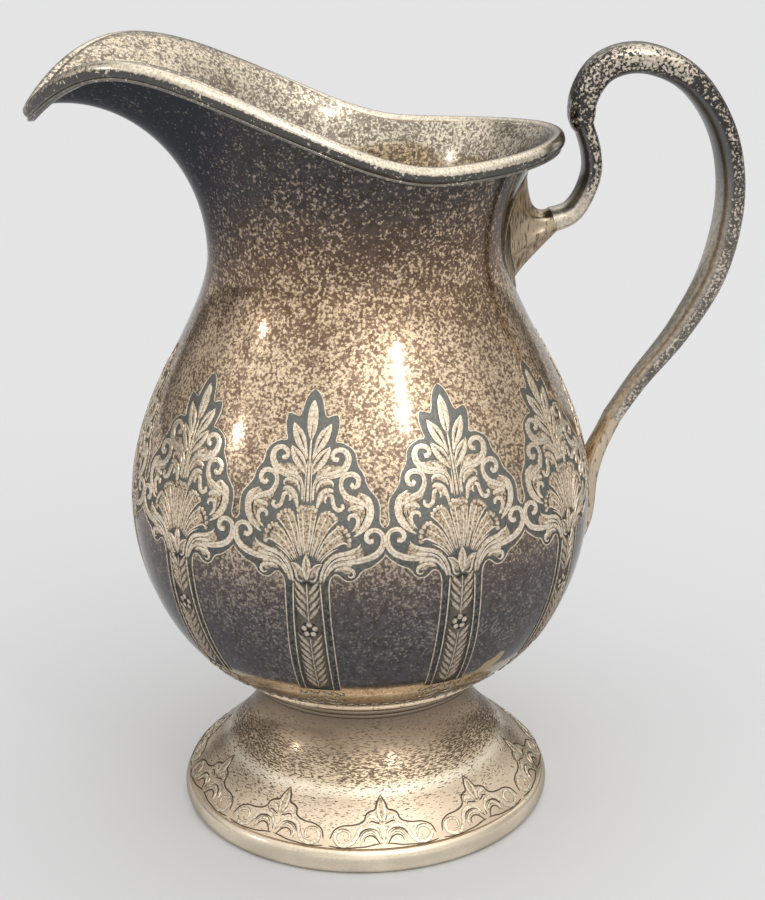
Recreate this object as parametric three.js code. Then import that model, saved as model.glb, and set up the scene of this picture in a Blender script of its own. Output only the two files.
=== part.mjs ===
// A silver-plated pedestal creamer, built from the pieces a workshop would solder together.
// Millimetres, +Z up. The spout points to -X and the handle to +X.
import * as THREE from 'three';

// Seams between pieces that are soldered
const SOLDER_GAP = 0.3;

// Foot: a spun dome that stands on a plain wire
const FOOT_WIRE_RADIUS = 35.4;
const FOOT_WIRE_HEIGHT = 4.8;
const FOOT_WIRE_WIDTH = 3.0;
const FOOT_EDGE_INSET = 0.9;
const FOOT_HEIGHT = 24.3;
const FOOT_TOP_RADIUS = 20.2;
const FOOT_BORE_RADIUS = 16.5;
const FOOT_WALL = 1.2;
const FOOT_NECK_DROP = 7.5;
const FOOT_SHOULDER_REACH = 6.8;
const FOOT_SHOULDER_RISE = 7.8;

// Collar: a ring with two beads between the foot and the body
const COLLAR_HEIGHT = 2.3;
const COLLAR_UPPER_RADIUS = 22.9;
const COLLAR_LOWER_RADIUS = 22.2;

// Body: a round belly on a small flat floor, drawn in to a neck
const BODY_WALL = 1.1;
const FLOOR_RADIUS = 19.5;
const BELLY_RADIUS = 42.7;
const BELLY_HEIGHT = 61.5;
const BOWL_FLOOR_RUN = 14.2;
const BOWL_FLOOR_RISE = 2;
const BOWL_SIDE_DROP = 16.4;
const SHOULDER_RISE = 19.8;
const NECK_RADIUS = 26.8;
const NECK_HEIGHT = 108;
const NECK_DROP = 12;

// Lip: an open saddle that runs out into the spout
const LIP_MIDDLE = -8;
const LIP_BACK_REACH = 35.5;
const LIP_HALF_WIDTH = 30.4;
const SPOUT_REACH = 55.6;
const SPOUT_POINT = 1.3;
const LIP_BACK_HEIGHT = 127.6;
const LIP_LOW_HEIGHT = 126.1;
const SPOUT_CREST_HEIGHT = 143.8;
const SPOUT_TIP_HEIGHT = 134.5;
const LIP_LOW_TURN = THREE.MathUtils.degToRad(62);
const SPOUT_CREST_TURN = THREE.MathUtils.degToRad(132);
const SPOUT_FOCUS = 3;
const LIP_SIDE_LIFT = 0.4;
const SPOUT_LIFT = 0.7;
const LIP_SIDE_FLARE = 0.6;
const SPOUT_FLARE = 0.47;
const LIP_SIDE_SLOPE = -4.5;
const SPOUT_DROOP = 3.3;

// Rim wire: a half-round moulding with a fine bead under it
const RIM_WIRE_THICKNESS = 1.5;
const RIM_WIRE_HEIGHT = 2.6;
const RIM_WIRE_RISE = 0.9;
const RIM_BEAD_RADIUS = 0.4;

// Handle: an ear-shaped loop, a thin branch to the neck, and a heel on the belly
const RIM_CLEARANCE = 1.1;
const KNUCKLE_SHARE = 0.64;
const KNUCKLE_HALF_THICKNESS = 2.1;
const KNUCKLE_HALF_DEPTH = 3.4;
const HANDLE_TOP_HEIGHT = 140.2;
const HANDLE_SPAN = 27.9;
const HANDLE_BULGE_HEIGHT = 116;
const KNUCKLE_LEAN = 0.4;
const THUMB_OVERHANG = 3.7;
const THUMB_HALF_THICKNESS = 2.7;
const THUMB_SHARE = 0.2;
const BRANCH_SWING = 0.105;
const KNUCKLE_ROUND = 1.2;
const LOOP_HALF_THICKNESS = 2.3;
const LOOP_HALF_DEPTH = 4.0;
const LOOP_END_HALF_THICKNESS = 1.5;
const LOOP_END_HALF_DEPTH = 2.6;
const LOOP_END_HEIGHT = 73.5;
const LOOP_END_STANDOFF = 6.8;
const BRANCH_HALF_THICKNESS = 1.5;
const BRANCH_HALF_DEPTH = 2.9;
const SOCKET_DROP = 19.6;
const SOCKET_PLATE_LIFT = 2;
const SOCKET_HALF_HEIGHT = 9.1;
const SOCKET_HALF_WIDTH = 6.5;
const SOCKET_EDGE = 0.3;
const SOCKET_TOP_EDGE = 1.5;
const SOCKET_SAG = 2;
const SOCKET_SLOPE = 0.5;
const SOCKET_FLARE = 0.55;
const SOCKET_LENGTH = 7;
const HEEL_END_HEIGHT = 42.5;
const HEEL_HALF_WIDTH = 3.2;
const HEEL_THICKNESS = 2.1;
const HEEL_TIP = 0.9;

// Facets
const TURN_STEPS = 48;
const SECTION_STEPS = 12;
const SECTION_SQUARENESS = 3;

const SILVER = { color: 0xa99c83, roughness: 0.34, metalness: 0.9 };
const SPECKLED = { color: 0x6f665a, roughness: 0.36, metalness: 0.85 };
const GILT = { color: 0xb9a478, roughness: 0.26, metalness: 0.95 };
const CAST = { color: 0x4e463c, roughness: 0.38, metalness: 0.85 };

const { lerp, smoothstep } = THREE.MathUtils;
const at = (x, y, z) => new THREE.Vector3(x, y, z);
const flat = (r, z) => new THREE.Vector2(r, z);
const turns = Array.from({ length: TURN_STEPS }, (_, i) => (2 * Math.PI * i) / TURN_STEPS);

// Heights that follow from the stack of foot, collar and body
const COLLAR_BOTTOM = FOOT_HEIGHT + SOLDER_GAP;
const COLLAR_TOP = COLLAR_BOTTOM + COLLAR_HEIGHT;
const BODY_BOTTOM = COLLAR_TOP + SOLDER_GAP;

// The socket hangs under the back of the lip, and the knuckle lies between it and the handle's top
const SOCKET_HEIGHT = LIP_BACK_HEIGHT - SOCKET_DROP;
const KNUCKLE_HEIGHT = lerp(SOCKET_HEIGHT, HANDLE_TOP_HEIGHT, KNUCKLE_SHARE);

const bowl = new THREE.CubicBezierCurve(
  flat(FLOOR_RADIUS, BODY_BOTTOM),
  flat(FLOOR_RADIUS + BOWL_FLOOR_RUN, BODY_BOTTOM + BOWL_FLOOR_RISE),
  flat(BELLY_RADIUS, BELLY_HEIGHT - BOWL_SIDE_DROP),
  flat(BELLY_RADIUS, BELLY_HEIGHT),
);
const shoulder = new THREE.CubicBezierCurve(
  flat(BELLY_RADIUS, BELLY_HEIGHT),
  flat(BELLY_RADIUS, BELLY_HEIGHT + SHOULDER_RISE),
  flat(NECK_RADIUS, NECK_HEIGHT - NECK_DROP),
  flat(NECK_RADIUS, NECK_HEIGHT),
);

// Height of the lip: eased between its back, its lowest sides, the spout's crest and its tip.
function lipHeight(turn) {
  const half = Math.acos(Math.cos(turn));
  const stations = [
    [0, LIP_BACK_HEIGHT],
    [LIP_LOW_TURN, LIP_LOW_HEIGHT],
    [SPOUT_CREST_TURN, SPOUT_CREST_HEIGHT],
    [Math.PI, SPOUT_TIP_HEIGHT],
  ];
  const next = Math.max(1, stations.findIndex(([angle]) => angle >= half - 1e-9));
  const [a0, z0] = stations[next - 1];
  const [a1, z1] = stations[next];
  return lerp(z0, z1, smoothstep(half, a0, a1));
}

// Edge of the lip: half an ellipse at the back and a pointed half at the spout.
function lipEdge(turn) {
  const c = Math.cos(turn);
  const s = Math.sin(turn);
  const reach = c > 0 ? LIP_BACK_REACH - LIP_MIDDLE : SPOUT_REACH + LIP_MIDDLE;
  const point = c > 0 ? 1 : SPOUT_POINT;
  const side = Math.sign(s) * Math.abs(s) ** point;
  return at(LIP_MIDDLE + reach * c, LIP_HALF_WIDTH * side, lipHeight(turn));
}

// One line up the outside of the lip, from the neck to the edge.
function lipLine(turn) {
  const spout = ((1 - Math.cos(turn)) / 2) ** SPOUT_FOCUS;
  const edge = lipEdge(turn);
  const neck = at(NECK_RADIUS * Math.cos(turn), NECK_RADIUS * Math.sin(turn), NECK_HEIGHT);
  const lift = lerp(LIP_SIDE_LIFT, SPOUT_LIFT, spout) * (edge.z - NECK_HEIGHT);
  const flare = edge.clone().lerp(neck, lerp(LIP_SIDE_FLARE, SPOUT_FLARE, spout));
  flare.z = edge.z + lerp(LIP_SIDE_SLOPE, SPOUT_DROOP, spout);
  return new THREE.CubicBezierCurve3(neck, neck.clone().setZ(NECK_HEIGHT + lift), flare, edge);
}

// Point of the lip, moved a depth into the metal along the surface's own normal.
function lipPoint(turn, along, depth) {
  const step = 0.01;
  const line = lipLine(turn);
  const point = line.getPoint(along);
  if (depth === 0) return point;
  const around = lipLine(turn + step).getPoint(along).sub(lipLine(turn - step).getPoint(along));
  const outward = around.cross(line.getTangent(along)).normalize();
  return point.addScaledVector(outward, -depth);
}

// Radius of the body's outside at a height, on the handle's side.
function bodyRadius(z) {
  const curve = z < BELLY_HEIGHT ? bowl : shoulder;
  const height = (t) => (z <= NECK_HEIGHT ? curve.getPoint(t).y : lipPoint(0, t, 0).z);
  let low = 0;
  let high = 1;
  for (let i = 0; i < 30; i += 1) {
    const middle = (low + high) / 2;
    if (height(middle) < z) low = middle;
    else high = middle;
  }
  return z <= NECK_HEIGHT ? curve.getPoint(low).x : lipPoint(0, low, 0).x;
}

// Skin over rings of equal length that turn anticlockwise about the way they go.
function loft(rings, closed = false) {
  const count = rings[0].length;
  const points = rings.flat();
  const faces = [];
  const bands = closed ? rings.length : rings.length - 1;
  for (let i = 0; i < bands; i += 1) {
    const near = i * count;
    const far = ((i + 1) % rings.length) * count;
    for (let j = 0; j < count; j += 1) {
      const k = (j + 1) % count;
      faces.push(near + j, near + k, far + k, near + j, far + k, far + j);
    }
  }
  const cap = (ring, first, forward) => {
    const middle = ring.reduce((sum, p) => sum.add(p), at(0, 0, 0)).divideScalar(count);
    const centre = points.push(middle) - 1;
    for (let j = 0; j < count; j += 1) {
      const k = (j + 1) % count;
      faces.push(centre, first + (forward ? j : k), first + (forward ? k : j));
    }
  };
  if (!closed) {
    cap(rings[0], 0, false);
    cap(rings.at(-1), (rings.length - 1) * count, true);
  }
  const geometry = new THREE.BufferGeometry().setFromPoints(points);
  geometry.setIndex(faces);
  geometry.computeVertexNormals();
  return geometry;
}

// Ring turned on the vessel's axis from a closed outline of radius and height.
function turned(outline) {
  const geometry = new THREE.LatheGeometry([...outline, outline[0]], TURN_STEPS);
  return geometry.rotateX(Math.PI / 2);
}

const arc = (r, z, radiusR, radiusZ, from, to, steps) => {
  const ellipse = new THREE.EllipseCurve(r, z, radiusR, radiusZ, from, to, to < from);
  return ellipse.getPoints(steps);
};

function bodyShell() {
  const circle = (r, z) => turns.map((t) => at(r * Math.cos(t), r * Math.sin(t), z));
  const wall = [];
  for (const [curve, steps] of [[bowl, 8], [shoulder, 7]]) {
    for (let i = curve === bowl ? 0 : 1; i <= steps; i += 1) {
      const point = curve.getPoint(i / steps);
      const way = curve.getTangent(i / steps);
      wall.push({ point, out: flat(way.y, -way.x) });
    }
  }
  const outer = wall.map(({ point }) => circle(point.x, point.y));
  const inner = wall.map(({ point, out }, i) => {
    const under = i === 0 ? flat(0, -1) : out;
    return circle(point.x - BODY_WALL * under.x, point.y - BODY_WALL * under.y);
  });
  const lipSteps = [0.18, 0.36, 0.54, 0.7, 0.86, 1];
  const lipOuter = lipSteps.map((s) => turns.map((t) => lipPoint(t, s, 0)));
  const lipInner = lipSteps.map((s) => turns.map((t) => lipPoint(t, s, BODY_WALL)));
  return loft([...outer, ...lipOuter, ...lipInner.reverse(), ...inner.reverse()]);
}

function rimWire() {
  const half = RIM_WIRE_HEIGHT / 2;
  const middle = RIM_WIRE_RISE - half;
  const bead = flat(SOLDER_GAP + RIM_BEAD_RADIUS, middle - half - RIM_BEAD_RADIUS / 2);
  const section = [
    ...arc(SOLDER_GAP, middle, RIM_WIRE_THICKNESS, half, Math.PI / 2, -Math.PI / 3, 5),
    ...arc(bead.x, bead.y, RIM_BEAD_RADIUS, RIM_BEAD_RADIUS, Math.PI / 4, -Math.PI / 2, 2),
    flat(SOLDER_GAP, bead.y - RIM_BEAD_RADIUS),
  ];
  const rings = turns.map((turn) => {
    const step = 0.01;
    const edge = lipEdge(turn);
    const way = lipEdge(turn + step).sub(lipEdge(turn - step)).normalize();
    const out = way.clone().cross(at(0, 0, 1)).normalize();
    const up = out.clone().cross(way);
    return section.map((p) => edge.clone().addScaledVector(out, p.x).addScaledVector(up, p.y));
  });
  return loft(rings, true);
}

function footWire() {
  const half = FOOT_WIRE_HEIGHT / 2;
  const round = FOOT_WIRE_WIDTH / 2;
  const middle = FOOT_WIRE_RADIUS - round;
  return turned([
    flat(FOOT_WIRE_RADIUS - FOOT_WIRE_WIDTH, 0),
    ...arc(middle, half, round, half, -Math.PI / 2, Math.PI / 2, 6),
    flat(FOOT_WIRE_RADIUS - FOOT_WIRE_WIDTH, FOOT_WIRE_HEIGHT),
  ]);
}

function pedestalFoot() {
  const edge = flat(FOOT_WIRE_RADIUS - FOOT_EDGE_INSET, FOOT_WIRE_HEIGHT + SOLDER_GAP);
  const curve = new THREE.CubicBezierCurve(
    edge,
    flat(edge.x - FOOT_SHOULDER_REACH, edge.y + FOOT_SHOULDER_RISE),
    flat(FOOT_TOP_RADIUS, FOOT_HEIGHT - FOOT_NECK_DROP),
    flat(FOOT_TOP_RADIUS, FOOT_HEIGHT),
  );
  const outside = [];
  const inside = [];
  const steps = 8;
  for (let i = 0; i <= steps; i += 1) {
    const point = curve.getPoint(i / steps);
    const way = curve.getTangent(i / steps);
    outside.push(point);
    inside.push(flat(point.x - FOOT_WALL * way.y, point.y + FOOT_WALL * way.x));
  }
  inside[0].y = edge.y;
  inside[steps].y = FOOT_HEIGHT - FOOT_WALL;
  return turned([
    ...outside,
    flat(FOOT_BORE_RADIUS, FOOT_HEIGHT),
    flat(FOOT_BORE_RADIUS, FOOT_HEIGHT - FOOT_WALL),
    ...inside.reverse(),
  ]);
}

function footCollar() {
  const bead = COLLAR_HEIGHT / 4;
  const lower = COLLAR_LOWER_RADIUS - bead;
  const upper = COLLAR_UPPER_RADIUS - bead;
  return turned([
    flat(FOOT_BORE_RADIUS, COLLAR_BOTTOM),
    ...arc(lower, COLLAR_BOTTOM + bead, bead, bead, -Math.PI / 2, Math.PI / 3, 3),
    ...arc(upper, COLLAR_TOP - bead, bead, bead, -Math.PI / 3, Math.PI / 2, 3),
    flat(FOOT_BORE_RADIUS, COLLAR_TOP),
  ]);
}

// Ring of a bar with softly squared sides that runs in the handle's plane.
function barRing(centre, way, halfThickness, halfDepth) {
  const across = at(way.z, 0, -way.x);
  return Array.from({ length: SECTION_STEPS }, (_, j) => {
    const angle = (2 * Math.PI * j) / SECTION_STEPS;
    const [c, s] = [Math.cos(angle), Math.sin(angle)];
    const square = (c ** 2) ** (SECTION_SQUARENESS / 2) + (s ** 2) ** (SECTION_SQUARENESS / 2);
    const swell = square ** (-1 / SECTION_SQUARENESS);
    const ring = centre.clone().addScaledVector(across, halfThickness * swell * c);
    ring.y += halfDepth * swell * s;
    return ring;
  });
}

// The loop starts at its knuckle, clear of the rim, and ends over the belly.
const KNUCKLE_X = LIP_BACK_REACH + SOLDER_GAP + RIM_WIRE_THICKNESS + RIM_CLEARANCE
  + KNUCKLE_HALF_THICKNESS;
const LOOP_END_X = bodyRadius(LOOP_END_HEIGHT) + LOOP_END_STANDOFF;
const BULGE_X = KNUCKLE_X + HANDLE_SPAN;
const loopLine = new THREE.CatmullRomCurve3([
  at(KNUCKLE_X, 0, KNUCKLE_HEIGHT),
  at(KNUCKLE_X + KNUCKLE_LEAN, 0, lerp(KNUCKLE_HEIGHT, HANDLE_TOP_HEIGHT, 0.45)),
  at(KNUCKLE_X + THUMB_OVERHANG, 0, lerp(KNUCKLE_HEIGHT, HANDLE_TOP_HEIGHT, 0.86)),
  at(lerp(KNUCKLE_X, BULGE_X, 0.36), 0, HANDLE_TOP_HEIGHT),
  at(lerp(KNUCKLE_X, BULGE_X, 0.67), 0, lerp(HANDLE_TOP_HEIGHT, HANDLE_BULGE_HEIGHT, 0.14)),
  at(lerp(KNUCKLE_X, BULGE_X, 0.91), 0, lerp(HANDLE_TOP_HEIGHT, HANDLE_BULGE_HEIGHT, 0.51)),
  at(BULGE_X, 0, HANDLE_BULGE_HEIGHT),
  at(lerp(BULGE_X, LOOP_END_X, 0.115), 0, lerp(HANDLE_BULGE_HEIGHT, LOOP_END_HEIGHT, 0.34)),
  at(lerp(BULGE_X, LOOP_END_X, 0.41), 0, lerp(HANDLE_BULGE_HEIGHT, LOOP_END_HEIGHT, 0.61)),
  at(lerp(BULGE_X, LOOP_END_X, 0.77), 0, lerp(HANDLE_BULGE_HEIGHT, LOOP_END_HEIGHT, 0.835)),
  at(LOOP_END_X, 0, LOOP_END_HEIGHT),
], false, 'centripetal');

function handleLoop() {
  const steps = 40;
  const rings = [];
  for (let i = 0; i <= steps; i += 1) {
    const u = i / steps;
    const swell = smoothstep(u, 0, THUMB_SHARE);
    const settle = smoothstep(u, THUMB_SHARE, 2 * THUMB_SHARE);
    const fade = smoothstep(u, 0.6, 1);
    const thumb = lerp(KNUCKLE_HALF_THICKNESS, THUMB_HALF_THICKNESS, swell);
    const thick = lerp(lerp(thumb, LOOP_HALF_THICKNESS, settle), LOOP_END_HALF_THICKNESS, fade);
    const deep = lerp(lerp(KNUCKLE_HALF_DEPTH, LOOP_HALF_DEPTH, swell), LOOP_END_HALF_DEPTH, fade);
    const far = Math.min(1, (u * loopLine.getLength()) / KNUCKLE_ROUND);
    const round = lerp(BRANCH_HALF_THICKNESS / KNUCKLE_HALF_THICKNESS, 1, Math.sqrt(far * (2 - far)));
    rings.push(barRing(loopLine.getPointAt(u), loopLine.getTangentAt(u), round * thick, round * deep));
  }
  return loft(rings);
}

// The branch leaves the socket, turns up beside the rim and stops under the knuckle.
const SOCKET_WAY = at(1, 0, SOCKET_SLOPE).normalize();
const SOCKET_MOUTH = at(bodyRadius(SOCKET_HEIGHT), 0, SOCKET_HEIGHT)
  .addScaledVector(SOCKET_WAY, SOCKET_LENGTH);
const KNUCKLE_WAY = loopLine.getTangentAt(0);
const BRANCH_TOP = loopLine.getPointAt(0).addScaledVector(KNUCKLE_WAY, -SOLDER_GAP);
const BRANCH_BOW = BRANCH_SWING * (KNUCKLE_HEIGHT - SOCKET_MOUTH.z);
const branchLine = new THREE.CatmullRomCurve3([
  SOCKET_MOUTH.clone().addScaledVector(SOCKET_WAY, SOLDER_GAP),
  at(lerp(SOCKET_MOUTH.x, KNUCKLE_X, 0.8), 0, lerp(SOCKET_MOUTH.z, KNUCKLE_HEIGHT, 0.11)),
  at(KNUCKLE_X + BRANCH_BOW, 0, lerp(SOCKET_MOUTH.z, KNUCKLE_HEIGHT, 0.47)),
  at(KNUCKLE_X + BRANCH_BOW, 0, lerp(SOCKET_MOUTH.z, KNUCKLE_HEIGHT, 0.72)),
  BRANCH_TOP,
], false, 'centripetal');

function handleBranch() {
  const steps = 16;
  const rings = [];
  for (let i = 0; i <= steps; i += 1) {
    const u = i / steps;
    const way = branchLine.getTangentAt(u);
    if (i === 0) way.copy(SOCKET_WAY);
    if (i === steps) way.copy(KNUCKLE_WAY);
    rings.push(barRing(branchLine.getPointAt(u), way, BRANCH_HALF_THICKNESS, BRANCH_HALF_DEPTH));
  }
  return loft(rings);
}

// Point on the body's outside, a stand-off away, at a distance round from the handle's plane.
function onBody(round, z, standoff) {
  const r = bodyRadius(z);
  const angle = round / r;
  return at((r + standoff) * Math.cos(angle), (r + standoff) * Math.sin(angle), z);
}

function handleSocket() {
  const angles = Array.from({ length: SECTION_STEPS }, (_, j) => (2 * Math.PI * j) / SECTION_STEPS);
  const below = angles.map((angle) => (1 + Math.cos(angle)) / 2);
  const print = (share, edge) => angles.map((angle, j) => {
    const round = share * SOCKET_HALF_WIDTH * Math.sin(angle);
    const z = SOCKET_HEIGHT + SOCKET_PLATE_LIFT - share * SOCKET_HALF_HEIGHT * Math.cos(angle);
    return onBody(round, z, SOLDER_GAP + edge * lerp(SOCKET_TOP_EDGE, SOCKET_EDGE, below[j]));
  });
  const plate = print(1, 1);
  const mouth = barRing(SOCKET_MOUTH, SOCKET_WAY, BRANCH_HALF_THICKNESS, BRANCH_HALF_DEPTH);
  const flare = [0.3, 0.6, 0.85].map((u) => plate.map((p, j) => {
    const root = mouth[j].clone().addScaledVector(SOCKET_WAY, -SOCKET_FLARE * SOCKET_LENGTH);
    root.z -= SOCKET_SAG * below[j];
    return new THREE.QuadraticBezierCurve3(p, root, mouth[j]).getPoint(u);
  }));
  return loft([print(0.4, 0), print(1, 0), plate, ...flare, mouth]);
}

// The heel carries the loop's end down the belly and tapers to a tip.
function handleHeel() {
  const way = loopLine.getTangentAt(1);
  const start = loopLine.getPointAt(1).addScaledVector(way, SOLDER_GAP);
  const rest = (z, share) => at(bodyRadius(z) + SOLDER_GAP + share * HEEL_THICKNESS, 0, z);
  const line = new THREE.CatmullRomCurve3([
    start,
    rest(lerp(start.z, HEEL_END_HEIGHT, 0.3), 0.45),
    rest(lerp(start.z, HEEL_END_HEIGHT, 0.65), 0.55),
    rest(HEEL_END_HEIGHT, 0.25),
  ], false, 'centripetal');
  const steps = 16;
  const rings = [];
  for (let i = 0; i <= steps; i += 1) {
    const u = i / steps;
    const lean = i === 0 ? way : line.getTangentAt(u);
    const spread = smoothstep(u, 0.1, 0.35);
    const taper = smoothstep(u, 0.35, 1);
    const thick = lerp(LOOP_END_HALF_THICKNESS, HEEL_THICKNESS, spread);
    const wide = lerp(LOOP_END_HALF_DEPTH, HEEL_HALF_WIDTH, spread);
    const half = lerp(thick, HEEL_TIP, taper);
    const ring = barRing(line.getPointAt(u), lean, half, lerp(wide, HEEL_TIP, taper));
    rings.push(ring.map((p) => {
      const r = Math.hypot(p.x, p.y);
      const least = bodyRadius(p.z) + SOLDER_GAP;
      return r < least ? at((p.x * least) / r, (p.y * least) / r, p.z) : p;
    }));
  }
  return loft(rings);
}

const creamer = new THREE.Group();
creamer.name = 'creamer';
const add = (name, geometry, finish) => {
  const mesh = new THREE.Mesh(geometry, new THREE.MeshStandardMaterial(finish));
  mesh.name = name;
  creamer.add(mesh);
};
add('pedestal_foot', pedestalFoot(), SILVER);
add('foot_wire', footWire(), SILVER);
add('foot_collar', footCollar(), GILT);
add('body_shell', bodyShell(), SPECKLED);
add('rim_wire', rimWire(), SILVER);
add('handle_loop', handleLoop(), CAST);
add('handle_branch', handleBranch(), CAST);
add('handle_socket', handleSocket(), CAST);
add('handle_heel', handleHeel(), GILT);

// The middle of the whole length comes over the origin.
const SPOUT_END = SPOUT_REACH + SOLDER_GAP + RIM_WIRE_THICKNESS;
const HANDLE_END = BULGE_X + LOOP_HALF_THICKNESS;
creamer.position.x = (SPOUT_END - HANDLE_END) / 2;

export default creamer;
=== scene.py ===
# %% [markdown]
# # A tarnished silver-plated creamer
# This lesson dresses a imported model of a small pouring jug. The model's plain solids
# give every place and size, and here each of them gets a smooth, finely made stand-in.
# The real jug is thin plated brass: a spun body and foot, soldered wires, and a cast handle.

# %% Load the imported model
import math
from bisect import bisect_right
from functools import cache

import bmesh
import bpy
from mathutils import Matrix, Vector
from mathutils.geometry import interpolate_bezier


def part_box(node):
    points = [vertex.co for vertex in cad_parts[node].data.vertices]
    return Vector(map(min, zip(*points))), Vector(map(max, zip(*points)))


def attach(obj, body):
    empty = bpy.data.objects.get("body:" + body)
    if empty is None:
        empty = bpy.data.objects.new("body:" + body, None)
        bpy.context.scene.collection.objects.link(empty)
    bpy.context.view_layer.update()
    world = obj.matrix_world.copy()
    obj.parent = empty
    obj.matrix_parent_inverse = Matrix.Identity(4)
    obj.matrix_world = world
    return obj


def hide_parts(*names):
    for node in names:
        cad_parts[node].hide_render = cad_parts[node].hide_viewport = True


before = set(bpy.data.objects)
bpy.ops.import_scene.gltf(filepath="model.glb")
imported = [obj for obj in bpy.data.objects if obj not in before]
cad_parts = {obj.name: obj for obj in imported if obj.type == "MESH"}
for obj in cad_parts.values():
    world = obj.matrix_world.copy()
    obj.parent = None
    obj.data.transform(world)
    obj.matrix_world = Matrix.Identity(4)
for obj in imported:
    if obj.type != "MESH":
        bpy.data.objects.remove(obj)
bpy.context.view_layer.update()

print("solids:", sorted(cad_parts))

# %% [markdown]
# ## Units and the jug's own axis
# Blender works in metres, but a silversmith thinks in millimetres, so every shape below is
# drawn in millimetres round the jug's own axis. One matrix then carries a finished mesh to
# its place. The axis is read from the collar's box, because the handle pulls the middle of
# the whole jug away from it.

# %% Millimetres round the axis
MM = 0.001
collar_low, collar_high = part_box("foot_collar")
AXIS = (collar_low + collar_high) / 2
AXIS.z = 0
INTO_FRAME = Matrix.Translation(AXIS) @ Matrix.Scale(MM, 4)
print("axis at x = %.2f mm" % (AXIS.x / MM))

# %% [markdown]
# ## Camera
# The camera stands a third of a metre away and looks down on the jug by about nineteen
# degrees. Its place and its long lens were found by fitting the ellipses of the foot, the
# belly and the rim, so the jug has the same perspective as in the picture.

# %% Camera at the picture's viewing angle
CAMERA_SPOT = Vector((-30.4, -328.6, 183.6))
PAN, TILT, ROLL = -6.0, 70.88, -0.75
LENS, SENSOR = 74.93, 36
camera_data = bpy.data.cameras.new("camera")
camera_data.lens, camera_data.sensor_width = LENS, SENSOR
camera_data.clip_start = 0.01
camera = bpy.data.objects.new("camera", camera_data)
bpy.context.scene.collection.objects.link(camera)
camera.matrix_world = (
    Matrix.Translation(INTO_FRAME @ CAMERA_SPOT)
    @ Matrix.Rotation(math.radians(PAN), 4, "Z")
    @ Matrix.Rotation(math.radians(TILT), 4, "X")
    @ Matrix.Rotation(math.radians(ROLL), 4, "Z")
)
bpy.context.scene.camera = camera
print("camera at", [round(x, 3) for x in camera.matrix_world.translation])

# %% [markdown]
# ## Helpers for node trees
# The room's light and every finish are node trees. Old silver plate is never one colour, so
# each finish mixes a dark tarnish and a light metal with a mask of noise. The noise reads
# Object coordinates, which are metres here, so a scale of 1000 makes flecks of about a
# millimetre. Small helpers keep the trees short.

# %% Helpers for node trees
def new_finish(name, coat=0.0):
    """An empty metal finish; coat is the gloss of a smooth film of tarnish."""
    finish = bpy.data.materials.new(name)
    finish.use_nodes = True
    shader = finish.node_tree.nodes["Principled BSDF"]
    shader.inputs["Metallic"].default_value = 1.0
    shader.inputs["Coat Weight"].default_value = coat
    shader.inputs["Coat Roughness"].default_value = 0.05
    shader.inputs["Specular Tint"].default_value = (0.55, 0.55, 0.55, 1)
    return finish, finish.node_tree, shader


def add(tree, kind, links=(), **settings):
    """A node with its settings; links pairs each input's name or number with what it gets."""
    node = tree.nodes.new("ShaderNode" + kind)
    for key, value in settings.items():
        setattr(node, key, value)
    for key, value in links:
        if isinstance(value, bpy.types.NodeSocket):
            tree.links.new(value, node.inputs[key])
        else:
            node.inputs[key].default_value = value
    return node


def object_place(tree):
    """Object coordinates, in metres."""
    return add(tree, "TexCoord").outputs["Object"]


def along(tree, axis):
    """Object coordinate along one axis."""
    return add(tree, "SeparateXYZ", [(0, object_place(tree))]).outputs[axis]


def place(tree, scale=(1, 1, 1), shift=(0, 0, 0)):
    """Object coordinates, moved and stretched."""
    links = [("Vector", object_place(tree)), ("Scale", scale), ("Location", shift)]
    return add(tree, "Mapping", links).outputs["Vector"]


def attribute(tree, name):
    """A number that the mesh keeps at each of its points."""
    return add(tree, "Attribute", attribute_name=name).outputs["Fac"]


def flecks(tree, vector, scale, detail=3.0, roughness=0.6):
    """Noise between 0 and 1."""
    links = [("Vector", vector), ("Scale", scale), ("Detail", detail), ("Roughness", roughness)]
    return add(tree, "TexNoise", links).outputs["Fac"]


def ease(tree, value, low, high, to_low=0.0, to_high=1.0):
    """Value carried smoothly from one range to another."""
    span = [("Value", value), ("From Min", low), ("From Max", high)]
    span += [("To Min", to_low), ("To Max", to_high)]
    return add(tree, "MapRange", span, interpolation_type="SMOOTHSTEP").outputs["Result"]


def sums(tree, operation, a, b):
    """One sum of two numbers or sockets."""
    return add(tree, "Math", [(0, a), (1, b)], operation=operation).outputs["Value"]


def plus(tree, first, *others):
    """Numbers or sockets added up."""
    for other in others:
        first = sums(tree, "ADD", first, other)
    return first


def sway(tree, noise, amount):
    """Noise that swings to both sides of 0, by half the amount."""
    return sums(tree, "MULTIPLY", sums(tree, "SUBTRACT", noise, 0.5), amount)


def blend(tree, share, a, b, mode="MIX"):
    """Colour a where share is 0, colour b where it is 1."""
    first, second = [(*c, 1) if isinstance(c, tuple) else c for c in (a, b)]
    links = [(0, share), (6, first), (7, second)]
    return add(tree, "Mix", links, data_type="RGBA", blend_type=mode).outputs[2]


def tint(tree, a, b):
    """Colour a times colour b."""
    return blend(tree, 1.0, a, b, "MULTIPLY")


def by_height(tree, z, stops):
    """A grey or a colour by height; stops are millimetres and values, or one value for all."""
    if not isinstance(stops, list):
        return stops
    low, high = stops[0][0], stops[-1][0]
    span = [("Value", z), ("From Min", low * MM), ("From Max", high * MM)]
    node = add(tree, "ValToRGB", [("Fac", add(tree, "MapRange", span).outputs["Result"])])
    marks = node.color_ramp.elements
    marks.remove(marks[1])
    for k, (height, value) in enumerate(stops):
        mark = marks[0] if k == 0 else marks.new((height - low) / (high - low))
        mark.position = (height - low) / (high - low)
        mark.color = (*value, 1) if isinstance(value, tuple) else (value, value, value, 1)
    return node.outputs["Color"]


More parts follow.
